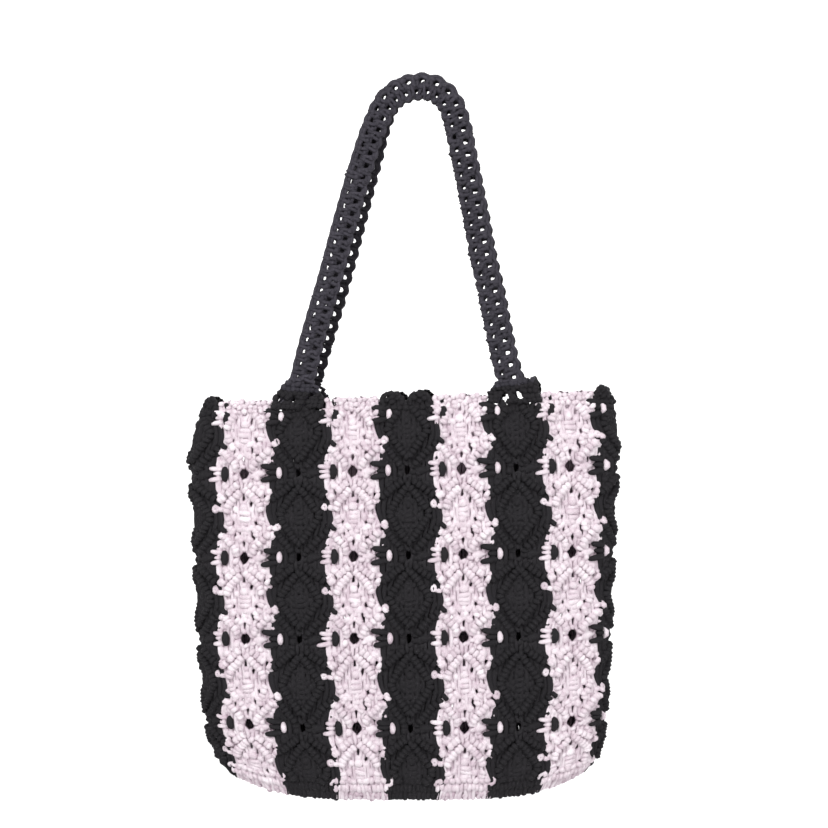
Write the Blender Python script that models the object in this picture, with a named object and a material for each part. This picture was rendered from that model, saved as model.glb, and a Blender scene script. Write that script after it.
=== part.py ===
"""A knotted cord tote bag in black and white stripes, hanging by its two handles.

Sixteen knotted strips stand side by side round the bag, eight white and eight black.
Each strip is a run of diamonds outlined by ridges of hitches, with an open eye between one
diamond and the next. The strips end at a row of hitches above a knotted base. Two black
handles rise from the black strips and meet at the top, where the bag is held.

The origin is the point where the handles are held, under the top of their arch.
+X is to the right, +Y goes from the front to the back, +Z is up. Lengths are in metres.
"""

import math

import bmesh
import bpy

MM = 0.001

# ---- Driving sizes ----
RIM_HEIGHT = -0.254          # the rim at the middle of the bag
BOTTOM_HEIGHT = -0.597       # the lowest line of the bag
RIM_SLOPE = 0.030            # the rim rises to the right by this much for each metre
CORNER_LIFT = 0.022          # how much higher the bottom line is at the corners
CORNER_AT = 0.151            # the distance from the middle where it is lifted so far
CORNER_SHARPNESS = 8         # the lift is gone a short way above the bottom
SECTION_POWER = 4            # how square a cut across the bag is at its sides
INNER_FACE = -0.0030         # the inside of the cloth, from its middle
JOIN_GAP = 0.0006            # between two strips, and between a strip and what it meets
EYE_HALF_WIDTH = 0.0040
EYE_HALF_HEIGHT = 0.0045
BASE_THICKNESS = 0.0045
KNOT_PITCH = 0.0110          # from one knot of a handle to the next
BAND_WIDTH = 0.0245
BAND_WAIST = 0.0200
BAND_THICKNESS = 0.0068
BAND_WAIST_THICKNESS = 0.0048
ROOT_OUT = 0.0005            # how far the foot of a handle lies out from the middle of the cloth
HALF_STRIP_AT_EYES = 0.0232

STRIPS_AROUND = 16
FRONT_EDGE = 3.5             # the front ends this many strips from its middle
SIDE_STRIP = 4               # the strips at this place, on either side, fold round the sides
HANDLE_STRIPS = (-2, 2, 6, -6)
BASE_STATIONS = (3.9, 3.7, 3.5, 3.0, 2.5, 2.0, 1.5, 1.0, 0.5)
OUTLINE_STEPS = 160          # short lines in a quarter of a cut across the bag
ROUTE_STEPS = 12             # short lines from one row of the handles' table to the next

# The corners of a handle's flat band, as shares of its width and of its thickness.
BAND_CORNERS = ((-0.5, 0), (-0.32, -0.5), (0.32, -0.5), (0.5, 0), (0.32, 0.5), (-0.32, 0.5))

# The cuts across the bag, from the rim (0) to the bottom (1): half the width and half the
# depth of the middle of the cloth, where its middle lies, how far the stripes are turned
# round the bag, and the width of one strip. All but the first are in millimetres.
SECTION_COLUMNS = ("down", "half_width", "half_depth", "middle_x", "turned", "strip_width")
SECTIONS = (
    (0.00, 172.0, 21.0, -23.0, -2.0, 45.8),
    (0.13, 180.0, 24.0, -26.6, 2.4, 46.3),
    (0.30, 177.0, 27.0, -26.4, 3.4, 46.6),
    (0.55, 173.5, 29.0, -26.4, 4.0, 46.6),
    (0.80, 168.0, 29.0, -25.5, 4.5, 46.0),
    (0.90, 164.0, 27.5, -24.6, 4.5, 45.0),
    (0.96, 158.0, 24.5, -24.2, 4.5, 44.0),
    (1.00, 149.0, 19.0, -24.2, 4.5, 42.6),
)

# The eyes lie in four rows. Between two rows a diamond is at its widest, and a little lower
# its strip bulges to the right. Both places are shares of the way from one eye to the next.
EYE_ROWS = (0.182, 0.393, 0.598, 0.821)
WIDEST_AT = 0.50
BULGE_AT = 0.65
TOP_WIDEST = 0.100
LAST_WIDEST = 0.915
HITCH_ROW = 0.950
UNDER_HITCH_ROW = 0.975

# The face of a strip, from its edge to its middle line: how far out each fold line lies, as
# a share of half the strip, and how high it stands over the middle of the cloth in
# millimetres. The middle line is the last one.
RELIEF_COLUMNS = ("edge", "border", "groove", "ridge", "hollow", "middle")
RELIEF_PLACE = {
    "rim": (1.0, 0.80, 0.64, 0.48, 0.22, 0.0),
    "eye": (1.0, 0.74, 0.50, 0.33, EYE_HALF_WIDTH / HALF_STRIP_AT_EYES, 0.0),
    "widest": (1.0, 0.95, 0.90, 0.82, 0.56, 0.0),
    "bulge": (1.0, 0.90, 0.78, 0.64, 0.42, 0.0),
    "hitches": (1.0, 0.82, 0.64, 0.46, 0.24, 0.0),
    "under": (1.0, 0.82, 0.64, 0.46, 0.24, 0.0),
    "bottom": (1.0, 0.82, 0.64, 0.46, 0.24, 0.0),
}
RELIEF_HEIGHT = {
    "rim": (2.6, 3.8, 3.6, 4.4, 3.0, 2.6),
    "eye": (2.6, 4.4, 2.6, 5.2, 2.8, 2.8),
    "widest": (2.6, 3.0, 2.2, 5.4, 1.8, 4.6),
    "bulge": (3.4, 4.0, 2.2, 5.4, 2.0, 4.8),
    "hitches": (4.8, 5.2, 5.2, 5.2, 5.2, 5.2),
    "under": (2.6, 2.8, 2.8, 2.8, 2.8, 2.8),
    "bottom": (2.8, 3.0, 3.0, 3.0, 3.0, 3.0),
}
# How far the two borders of a strip lie to the right at each kind of row, in millimetres.
BORDER_SHIFT = {
    "rim": 0.0,
    "eye": -1.0,
    "widest": 1.5,
    "bulge": 5.5,
    "hitches": 0.0,
    "under": 0.0,
    "bottom": 0.0,
}
# How far the rim stands up along the fold lines, in millimetres.
RIM_LOBES = {"black": (0.0, 5.0, 7.0, 6.5, 0.0, -3.5), "white": (1.5, 2.0, 1.0, 2.0, 1.0, 2.0)}
FLAT_RIM = (0.0,) * len(RELIEF_COLUMNS)

# The middle line of the two handles, left root to right root, in millimetres: where it
# lies, how far the front handle is moved left of it and the back one right of it, and how
# far each one lies from the plane between them.
HANDLE_COLUMNS = ("x", "z", "apart", "from_middle")
HANDLE_ROUTE = (
    (-114.6, -256.0, 2.0, 20.2),
    (-108.6, -238.0, 2.5, 17.6),
    (-103.0, -219.0, 3.0, 15.0),
    (-97.0, -195.0, 3.0, 12.6),
    (-85.4, -152.3, 3.0, 9.3),
    (-70.8, -100.0, 2.5, 6.6),
    (-56.4, -47.9, 2.0, 4.8),
    (-49.8, -21.9, 1.0, 4.2),
    (-41.0, 0.5, 0.5, 3.9),
    (-28.0, 11.0, 0.0, 3.9),
    (-12.0, 14.6, 0.0, 3.9),
    (1.5, 11.8, 0.0, 3.9),
    (12.5, 1.5, 0.0, 3.9),
    (19.0, -15.0, 0.0, 4.0),
    (23.5, -36.0, 0.0, 4.3),
    (28.1, -62.1, 0.3, 5.2),
    (34.0, -94.4, 0.5, 6.6),
    (40.0, -127.5, 0.8, 8.3),
    (47.2, -160.2, 1.0, 10.3),
    (53.0, -190.0, 1.0, 12.8),
    (58.0, -213.0, 1.0, 15.0),
    (63.5, -234.0, 1.5, 17.4),
    (68.6, -250.6, 2.0, 20.2),
)
# The root of a handle, where it spreads over its strip: height over the rim and width, in mm.
ROOT_SPREAD = ((0.0, 44.0), (5.0, 41.0), (10.0, 33.0), (15.0, 26.0))

COLOURS = {
    "white": (0.86, 0.79, 0.83, 1.0),
    "black": (0.022, 0.021, 0.025, 1.0),
}


def smooth_reading(rows, column, at):
    """The value of a column at a point between the rows, on a smooth curve through them."""
    last = len(rows) - 1
    low = max(i for i in range(last) if rows[i][0] <= at or i == 0)
    share = (at - rows[low][0]) / (rows[low + 1][0] - rows[low][0])
    slopes = []
    for i in (low, low + 1):
        before, after = rows[max(i - 1, 0)], rows[min(i + 1, last)]
        slopes.append((after[column] - before[column]) / (after[0] - before[0]))
    span = rows[low + 1][0] - rows[low][0]
    start, end = rows[low][column], rows[low + 1][column]
    square, cube = share * share, share ** 3
    return (
        start * (2 * cube - 3 * square + 1)
        + slopes[0] * span * (cube - 2 * square + share)
        + end * (3 * square - 2 * cube)
        + slopes[1] * span * (cube - square)
    )


SECTION_CACHE = {}


def section_at(down):
    """The cut across the bag at this level, with a quarter of its outline measured along it."""
    if down in SECTION_CACHE:
        return SECTION_CACHE[down]
    cut = {}
    for column, name in enumerate(SECTION_COLUMNS[1:], 1):
        cut[name] = smooth_reading(SECTIONS, column, down) * MM
    quarter = [(0.0, 0.0, cut["half_depth"])]
    for step in range(1, OUTLINE_STEPS + 1):
        angle = math.pi / 2 * (step / OUTLINE_STEPS) ** 2
        x = cut["half_width"] * math.sin(angle) ** (2 / SECTION_POWER)
        y = cut["half_depth"] * math.cos(angle)
        length = quarter[-1][0] + math.dist((x, y), quarter[-1][1:])
        quarter.append((length, x, y))
    cut["quarter"] = quarter
    SECTION_CACHE[down] = cut
    return cut


def along_quarter(quarter, distance):
    """The point of a quarter outline at this distance from the middle of the face."""
    distance = min(max(distance, 0.0), quarter[-1][0])
    low, high = 0, len(quarter) - 1
    while high - low > 1:
        middle = (low + high) // 2
        if quarter[middle][0] <= distance:
            low = middle
        else:
            high = middle
    share = (distance - quarter[low][0]) / (quarter[high][0] - quarter[low][0])
    x = quarter[low][1] + share * (quarter[high][1] - quarter[low][1])
    y = quarter[low][2] + share * (quarter[high][2] - quarter[low][2])
    return x, y


def cloth_point(around, down):
    """A point of the middle of the cloth. Around is in strips from the middle of the front."""
    cut = section_at(down)
    quarter = cut["quarter"]
    side_width = 2 * quarter[-1][0] - 2 * FRONT_EDGE * cut["strip_width"]
    turns = (around + 8) % STRIPS_AROUND - 8
    size = abs(turns)
    if size <= FRONT_EDGE:
        distance = size * cut["strip_width"]
    elif size <= FRONT_EDGE + 1:
        distance = FRONT_EDGE * cut["strip_width"] + (size - FRONT_EDGE) * side_width
    else:
        distance = 2 * quarter[-1][0] - (8 - size) * cut["strip_width"]
    distance = math.copysign(distance, turns) + cut["turned"]
    whole = 4 * quarter[-1][0]
    distance = (distance + whole / 2) % whole - whole / 2
    side = math.copysign(1.0, distance)
    if abs(distance) <= quarter[-1][0]:
        x, y = along_quarter(quarter, abs(distance))
        y = -y
    else:
        x, y = along_quarter(quarter, 2 * quarter[-1][0] - abs(distance))
    x *= side
    lift = CORNER_LIFT * (abs(x) / CORNER_AT) ** 4 * down ** CORNER_SHARPNESS
    rim = RIM_HEIGHT + RIM_SLOPE * x
    return (cut["middle_x"] + x, y, rim + (BOTTOM_HEIGHT - rim) * down + lift)


def cloth_normal(around, down):
    """The way out of the cloth, square to it."""
    step = 0.02
    left, right = cloth_point(around - step, down), cloth_point(around + step, down)
    upper = cloth_point(around, max(down - 0.004, 0.0))
    lower = cloth_point(around, min(down + 0.004, 1.0))
    a = [right[i] - left[i] for i in range(3)]
    b = [lower[i] - upper[i] for i in range(3)]
    normal = (b[1] * a[2] - b[2] * a[1], b[2] * a[0] - b[0] * a[2], b[0] * a[1] - b[1] * a[0])
    length = math.hypot(*normal)
    return [value / length for value in normal]


def on_cloth(around, down, out, up=0.0):
    """A point at a distance out from the middle of the cloth, and raised by another."""
    point, normal = cloth_point(around, down), cloth_normal(around, down)
    return (
        point[0] + normal[0] * out,
        point[1] + normal[1] * out,
        point[2] + normal[2] * out + up,
    )


def strip_colour(strip):
    return "white" if strip % 2 else "black"


def strip_rows():
    """The rows of fold lines down a strip: how far down, which kind, and what lies below."""
    half_eye = EYE_HALF_HEIGHT / (RIM_HEIGHT - BOTTOM_HEIGHT)
    rows = [(0.0, "rim", "cloth"), (TOP_WIDEST, "widest", "cloth")]
    for place, eye in enumerate(EYE_ROWS):
        rows.append((eye - half_eye, "eye", "eye"))
        rows.append((eye + half_eye, "eye", "cloth"))
        if place + 1 < len(EYE_ROWS):
            drop = EYE_ROWS[place + 1] - eye
            rows.append((eye + drop * WIDEST_AT, "widest", "cloth"))
            rows.append((eye + drop * BULGE_AT, "bulge", "cloth"))
    rows.append((LAST_WIDEST, "widest", "cloth"))
    rows.append((HITCH_ROW, "hitches", "cloth"))
    rows.append((UNDER_HITCH_ROW, "under", "cloth"))
    rows.append((1.0, "bottom", "end"))
    return rows


def strip_edges(strip, down, kind):
    """The two edges of a strip on this row, in strips round the bag."""
    width = section_at(down)["strip_width"]
    shift = BORDER_SHIFT[kind] * MM / width
    gap = JOIN_GAP / 2 / width
    return strip - 0.5 + shift + gap, strip + 0.5 + shift - gap


def fold_lines(strip, down, kind):
    """Across a strip, left to right: (place round the bag, height over the cloth, number)."""
    left, right = strip_edges(strip, down, kind)
    middle, half = (left + right) / 2, (right - left) / 2
    lines = []
    for number, share in enumerate(RELIEF_PLACE[kind]):
        around = strip + (middle - strip) * share - share * half
        lines.append((around, RELIEF_HEIGHT[kind][number] * MM, number))
    for number in range(len(RELIEF_COLUMNS) - 2, -1, -1):
        share = RELIEF_PLACE[kind][number]
        around = strip + (middle - strip) * share + share * half
        lines.append((around, RELIEF_HEIGHT[kind][number] * MM, number))
    return lines


def rim_rise(strip, kind):
    if kind != "rim" or strip in HANDLE_STRIPS:
        return FLAT_RIM
    return RIM_LOBES[strip_colour(strip)]


def make_strip(strip, name, collection, material):
    """One knotted strip as a closed shell: a face with its ridges, a back, edges and eyes."""
    mesh = bmesh.new()
    last = 2 * len(RELIEF_COLUMNS) - 2
    eye_lines = (RELIEF_COLUMNS.index("hollow"), last - RELIEF_COLUMNS.index("hollow"))
    folds_round_side = abs(strip) == SIDE_STRIP
    back_lines = tuple(range(last + 1)) if folds_round_side else (0, *eye_lines, last)
    fronts, backs = [], []
    rows = strip_rows()
    for down, kind, _ in rows:
        rise = rim_rise(strip, kind)
        lines = fold_lines(strip, down, kind)
        face = [mesh.verts.new(on_cloth(a, down, h, rise[n] * MM)) for a, h, n in lines]
        fronts.append(face)
        back = {}
        for place in back_lines:
            around, _, number = lines[place]
            back[place] = mesh.verts.new(on_cloth(around, down, INNER_FACE, rise[number] * MM))
        backs.append(back)
    for row, (_, _, below) in enumerate(rows[:-1]):
        upper, lower = fronts[row], fronts[row + 1]
        for line in range(last):
            if below == "eye" and eye_lines[0] <= line < eye_lines[1]:
                continue
            mesh.faces.new((upper[line], lower[line], lower[line + 1], upper[line + 1]))
        upper_back, lower_back = backs[row], backs[row + 1]
        for near, far in zip(back_lines, back_lines[1:]):
            if below == "eye" and eye_lines[0] <= near < eye_lines[1]:
                continue
            mesh.faces.new((upper_back[near], upper_back[far], lower_back[far], lower_back[near]))
        mesh.faces.new((upper[0], upper_back[0], lower_back[0], lower[0]))
        mesh.faces.new((upper[last], lower[last], lower_back[last], upper_back[last]))
        if below == "eye":
            near, far = eye_lines
            mesh.faces.new((upper[near], lower[near], lower_back[near], upper_back[near]))
            mesh.faces.new((upper[far], upper_back[far], lower_back[far], lower[far]))
            close_end(mesh, lower, lower_back, back_lines, near, far, True)
            close_end(mesh, upper, upper_back, back_lines, near, far, False)
    close_end(mesh, fronts[0], backs[0], back_lines, 0, last, True)
    close_end(mesh, fronts[-1], backs[-1], back_lines, 0, last, False)
    return finish_mesh(mesh, name, collection, material)


def close_end(mesh, front, back, back_lines, first, last, upper):
    """Faces that join the front and the back of the cloth along a cut end, piece by piece."""
    for near, far in zip(back_lines, back_lines[1:]):
        if near < first or far > last:
            continue
        loop = [front[line] for line in range(near, far + 1)] + [back[far], back[near]]
        mesh.faces.new(loop if upper else loop[::-1])


def finish_mesh(mesh, name, collection, material):
    """Turns a bmesh into a named object with its material."""
    bmesh.ops.recalc_face_normals(mesh, faces=mesh.faces)
    bmesh.ops.triangulate(mesh, faces=mesh.faces, ngon_method="BEAUTY")
    data = bpy.data.meshes.new(name)
    mesh.to_mesh(data)
    mesh.free()
    data.materials.append(material)
    made = bpy.data.objects.new(name, data)
    collection.objects.link(made)
    return made


def make_base(collection, material):
    """The floor of the bag, set between the lower ends of the front and the back strips."""
    mesh = bmesh.new()
    stations = [-place for place in BASE_STATIONS] + [0.0] + list(reversed(BASE_STATIONS))
    inset = INNER_FACE - JOIN_GAP
    rings = []
    for place in stations:
        opposite = 8 - place
        near, far = on_cloth(place, 1.0, inset), on_cloth(opposite, 1.0, inset)
        low = max(near[2], far[2])
        corners = (
            (near[0], near[1], low),
            (far[0], far[1], low),
            (far[0], far[1], low + BASE_THICKNESS),
            (near[0], near[1], low + BASE_THICKNESS),
        )
        rings.append([mesh.verts.new(corner) for corner in corners])
    for ring, following in zip(rings, rings[1:]):
        for side in range(4):
            turn = (side + 1) % 4
            mesh.faces.new((ring[side], following[side], following[turn], ring[turn]))
    mesh.faces.new(rings[0])
    mesh.faces.new(rings[-1][::-1])
    return finish_mesh(mesh, "base", collection, material)


def handle_route(side):
    """Points close together along a handle: side is -1 for the front one, 1 for the back."""
    points = []
    for row in HANDLE_ROUTE:
        place = dict(zip(HANDLE_COLUMNS, row))
        x = place["x"] + side * place["apart"]
        points.append((x * MM, side * place["from_middle"] * MM, place["z"] * MM))
    padded = [[2 * a - b for a, b in zip(points[0], points[1])]] + points
    padded.append([2 * a - b for a, b in zip(points[-1], points[-2])])
    route = []
    for index in range(1, len(padded) - 2):
        before, start, end, after = padded[index - 1:index + 3]
        for step in range(ROUTE_STEPS):
            t = step / ROUTE_STEPS
            point = []
            for i in range(3):
                point.append(
                    0.5 * (
                        2 * start[i]
                        + (end[i] - before[i]) * t
                        + (2 * before[i] - 5 * start[i] + 4 * end[i] - after[i]) * t ** 2
                        + (3 * start[i] - before[i] - 3 * end[i] + after[i]) * t ** 3
                    )
                )
            route.append(point)
    route.append(list(points[-1]))
    lengths = [0.0]
    for start, end in zip(route, route[1:]):
        lengths.append(lengths[-1] + math.dist(start, end))
    return route, lengths


def route_point(route, lengths, distance):
    """The point of a route at this distance from its start, and the way it runs there."""
    index = 0
    while index < len(route) - 2 and lengths[index + 1] < distance:
        index += 1
    share = (distance - lengths[index]) / (lengths[index + 1] - lengths[index])
    start, end = route[index], route[index + 1]
    point = [a + (b - a) * share for a, b in zip(start, end)]
    before, after = route[max(index - 2, 0)], route[min(index + 3, len(route) - 1)]
    run = [b - a for a, b in zip(before, after)]
    length = math.hypot(run[0], run[2])
    return point, (run[0] / length, run[2] / length)


def band_ring(mesh, centre, across, width, thickness):
    """Six corners round a band: flat faces to the front and the back, narrow at the edges."""
    corners = []
    for share, side in BAND_CORNERS:
        corners.append(
            mesh.verts.new(
                (
                    centre[0] + across[0] * width * share,
                    centre[1] + thickness * side,
                    centre[2] + across[1] * width * share,
                )
            )
        )
    return corners


def make_handle(side, name, collection, material):
    """A knotted band: wide at each knot, narrow between two, and spread over its two roots."""
    route, lengths = handle_route(side)
    whole = lengths[-1]
    root_length = ROOT_SPREAD[-1][0] * MM
    knots = round((whole - 2 * root_length) / KNOT_PITCH)
    mesh = bmesh.new()
    rings = []
    first, last = (-2, 2) if side < 0 else (-6, 6)
    for height, width in ROOT_SPREAD:
        rings.append(root_ring(mesh, route, lengths, height * MM, width * MM, first, False))
    half_pitch = (whole - 2 * root_length) / (2 * knots)
    for step in range(1, 2 * knots):
        point, run = route_point(route, lengths, root_length + step * half_pitch)
        across = (run[1], -run[0])
        knot = step % 2 == 1
        width = BAND_WIDTH if knot else BAND_WAIST
        thickness = BAND_THICKNESS if knot else BAND_WAIST_THICKNESS
        rings.append(band_ring(mesh, point, across, width, thickness))
    for height, width in reversed(ROOT_SPREAD):
        rings.append(root_ring(mesh, route, lengths, height * MM, width * MM, last, True))
    for ring, following in zip(rings, rings[1:]):
        for corner in range(6):
            turn = (corner + 1) % 6
            mesh.faces.new((ring[corner], following[corner], following[turn], ring[turn]))
    mesh.faces.new(rings[0])
    mesh.faces.new(rings[-1][::-1])
    return finish_mesh(mesh, name, collection, material)


def root_ring(mesh, route, lengths, height, width, strip, at_end):
    """A ring of a root: level with the rim at its foot, square to the band above."""
    distance = lengths[-1] - height if at_end else height
    point, run = route_point(route, lengths, distance)
    square = (run[1], -run[0])
    rim = (-1.0, -RIM_SLOPE) if at_end else (1.0, RIM_SLOPE)
    share = height / (ROOT_SPREAD[-1][0] * MM)
    across = [a + (b - a) * share for a, b in zip(rim, square)]
    size = math.hypot(*across)
    across = (across[0] / size, across[1] / size)
    if height == 0.0:
        point = on_cloth(strip, 0.0, ROOT_OUT, JOIN_GAP)
    return band_ring(mesh, point, across, width, BAND_THICKNESS)


def make_material(name):
    made = bpy.data.materials.new(name)
    made.use_nodes = True
    made.diffuse_color = COLOURS[name.split("_")[0]]
    surface = made.node_tree.nodes["Principled BSDF"]
    surface.inputs["Base Color"].default_value = COLOURS[name.split("_")[0]]
    surface.inputs["Roughness"].default_value = 0.85
    surface.inputs["Metallic"].default_value = 0.0
    return made


def strip_name(strip):
    """Front strips are counted from the left as seen from the front, and so are the back ones."""
    if abs(strip) == 4:
        return "side_strip_left" if strip < 0 else "side_strip_right"
    place = strip + 4 if abs(strip) < 4 else {5: 7, 6: 6, 7: 5, 8: 4, -7: 3, -6: 2, -5: 1}[strip]
    face = "front" if abs(strip) < 4 else "back"
    return f"{face}_{strip_colour(strip)}_strip_{place}"


def build():
    for old in list(bpy.data.objects):
        bpy.data.objects.remove(old)
    collection = bpy.data.collections.new("macrame_bag")
    bpy.context.scene.collection.children.link(collection)
    cords = {colour: make_material(f"{colour}_cord") for colour in COLOURS}
    for strip in (-3, -2, -1, 0, 1, 2, 3, 4, 5, 6, 7, 8, -7, -6, -5, -4):
        make_strip(strip, strip_name(strip), collection, cords[strip_colour(strip)])
    make_base(collection, cords["black"])
    make_handle(-1, "front_handle", collection, cords["black"])
    make_handle(1, "back_handle", collection, cords["black"])


build()
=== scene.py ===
import math

import bpy
import numpy as np
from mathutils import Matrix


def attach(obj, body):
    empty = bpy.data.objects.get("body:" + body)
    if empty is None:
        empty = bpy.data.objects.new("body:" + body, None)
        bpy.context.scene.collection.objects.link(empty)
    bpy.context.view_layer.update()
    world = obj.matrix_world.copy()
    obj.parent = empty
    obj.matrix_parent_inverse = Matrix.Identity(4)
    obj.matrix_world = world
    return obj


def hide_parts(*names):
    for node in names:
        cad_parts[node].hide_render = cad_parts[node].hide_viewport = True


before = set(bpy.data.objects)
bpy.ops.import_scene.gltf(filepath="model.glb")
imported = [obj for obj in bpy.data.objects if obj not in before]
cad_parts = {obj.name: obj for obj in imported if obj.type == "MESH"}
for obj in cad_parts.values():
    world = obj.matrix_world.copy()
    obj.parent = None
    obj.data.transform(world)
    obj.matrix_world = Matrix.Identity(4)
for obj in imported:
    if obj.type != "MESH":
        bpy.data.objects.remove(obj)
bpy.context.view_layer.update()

# ---- Camera, light and room ----
# The bag hangs in a plain white studio and is looked at straight from the front. The main
# lamp stands in front, high and to the left, and a weaker, broader one to the right. Two
# more light the bag's back and the wall, and the white wall and floor fill in the rest.

bpy.ops.object.select_all(action="DESELECT")
bpy.ops.object.camera_add(location=(-0.018, -1.83, -0.2686), rotation=(math.pi / 2, 0, 0))
camera = bpy.context.object
camera.name = "camera"
camera.data.lens = 92.0
camera.data.sensor_width = 36.0
camera.data.clip_start = 0.05
bpy.context.scene.camera = camera
bpy.context.scene.view_settings.view_transform = "Standard"


def add_lamp(name, place, aim, size, power):
    """A square soft lamp that points at a place."""
    bpy.ops.object.select_all(action="DESELECT")
    bpy.ops.object.light_add(type="AREA", location=place)
    lamp = bpy.context.object
    lamp.name = name
    lamp.data.shape = "SQUARE"
    lamp.data.size = size
    lamp.data.energy = power
    way = np.array(aim) - np.array(place)
    flat = math.hypot(way[0], way[1])
    lamp.rotation_euler = (math.atan2(flat, -way[2]), 0, math.atan2(-way[0], way[1]))


BAG_MIDDLE = (-0.02, 0.0, -0.40)
add_lamp("main_lamp", (-1.1, -1.9, 1.0), BAG_MIDDLE, 0.6, 36.0)
add_lamp("fill_lamp", (1.3, -1.8, 0.3), BAG_MIDDLE, 1.0, 18.0)
add_lamp("back_lamp", (0.3, 1.0, 1.3), BAG_MIDDLE, 1.2, 8.0)
add_lamp("wall_lamp", (0.0, 1.1, 0.2), (0.0, 2.9, -0.3), 1.6, 30.0)

room_light = bpy.data.worlds.new("room_light")
room_light.use_nodes = True
room_light.node_tree.nodes["Background"].inputs["Color"].default_value = (1.0, 0.995, 1.0, 1.0)
room_light.node_tree.nodes["Background"].inputs["Strength"].default_value = 0.74
bpy.context.scene.world = room_light

wall_paint = bpy.data.materials.new("wall_paint")
wall_paint.use_nodes = True
paint_tree = wall_paint.node_tree
paint = paint_tree.nodes["Principled BSDF"]
paint.inputs["Roughness"].default_value = 0.9
on_wall = paint_tree.nodes.new("ShaderNodeTexCoord")
clouds = paint_tree.nodes.new("ShaderNodeTexNoise")
clouds.inputs["Scale"].default_value = 1.5
tint = paint_tree.nodes.new("ShaderNodeMix")
tint.data_type = "RGBA"
tint.inputs["A"].default_value = (0.96, 0.957, 0.96, 1.0)
tint.inputs["B"].default_value = (0.985, 0.982, 0.985, 1.0)
paint_tree.links.new(on_wall.outputs["Object"], clouds.inputs["Vector"])
paint_tree.links.new(clouds.outputs["Fac"], tint.inputs["Factor"])
paint_tree.links.new(tint.outputs["Result"], paint.inputs["Base Color"])

for name, place, turn in (
    ("floor", (0.0, 0.0, -2.6), (0.0, 0.0, 0.0)),
    ("back_wall", (0.0, 2.9, 0.0), (math.pi / 2, 0.0, 0.0)),
):
    bpy.ops.object.select_all(action="DESELECT")
    bpy.ops.mesh.primitive_plane_add(size=14.0, location=place, rotation=turn)
    bpy.context.object.name = name
    bpy.context.object.data.materials.append(wall_paint)


# ---- The shape of the hung bag ----
# The bag is one limp knotted cloth, a little wider below its rim than at it, and flat in
# front and behind. Each strip is laid on this shape: every cord of it is drawn flat first,
# in millimetres across the strip, down from the rim and out from the cloth.

MM = 0.001                        # the tables are in millimetres, the scene in metres
RIM_HEIGHT = -0.254
BOTTOM_HEIGHT = -0.597
DROP = (RIM_HEIGHT - BOTTOM_HEIGHT) / MM
RIM_SLOPE = 0.030                 # the rim rises a little to the right
CORNER_LIFT = 0.022               # how far the lower corners are drawn up,
CORNER_AT = 0.151                 # how far out from the middle,
CORNER_POWERS = (4, 8)            # and how fast that grows outwards and downwards
SECTION_POWER = 4                 # how flat its front and back are, seen from above
STRIPS_AROUND = 16
HALF_AROUND = STRIPS_AROUND // 2
FRONT_EDGE = 3.5                  # how many strips lie between the front's middle and its side
SIDE_STRIP = 4                    # the strip that folds round the side, or -4 on the left
STRIP_WIDTH = 46.6                # the usual width of a strip

# share of the drop, half width, half depth, middle, how far the stripes are turned round,
# strip width
SECTIONS = np.array((
    (0.00, 172.0, 21.0, -23.0, -2.0, 45.8),
    (0.13, 180.0, 24.0, -26.6, 2.4, 46.3),
    (0.30, 177.0, 27.0, -26.4, 3.4, 46.6),
    (0.55, 173.5, 29.0, -26.4, 4.0, 46.6),
    (0.80, 168.0, 29.0, -25.5, 4.5, 46.0),
    (0.90, 164.0, 27.5, -24.6, 4.5, 45.0),
    (0.96, 158.0, 24.5, -24.2, 4.5, 44.0),
    (1.00, 149.0, 19.0, -24.2, 4.5, 42.6),
))


def smooth_reading(rows, at):
    """All columns of a table at a point between its rows, on a smooth curve through them."""
    last = len(rows) - 1
    low = max(int(np.searchsorted(rows[:, 0], at, side="right")) - 1, 0)
    low = min(low, last - 1)
    span = rows[low + 1, 0] - rows[low, 0]
    t = (at - rows[low, 0]) / span
    slopes = []
    for i in (low, low + 1):
        before, after = rows[max(i - 1, 0)], rows[min(i + 1, last)]
        slopes.append((after - before) / (after[0] - before[0]))
    return (
        rows[low] * (2 * t ** 3 - 3 * t ** 2 + 1)
        + slopes[0] * span * (t ** 3 - 2 * t ** 2 + t)
        + rows[low + 1] * (3 * t ** 2 - 2 * t ** 3)
        + slopes[1] * span * (t ** 3 - t ** 2)
    )


# The hung cloth as a grid: one row for each level from the rim to the foot, one column for
# each place round it, counted in strips from the middle of the front.
LEVELS = 121
PLACES = 641
level_share = np.linspace(0.0, 1.0, LEVELS)
place_around = np.linspace(-HALF_AROUND, HALF_AROUND, PLACES)
cloth_grid = np.zeros((LEVELS, PLACES, 3))
strip_widths = np.zeros(LEVELS)
side_widths = np.zeros(LEVELS)

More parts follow.
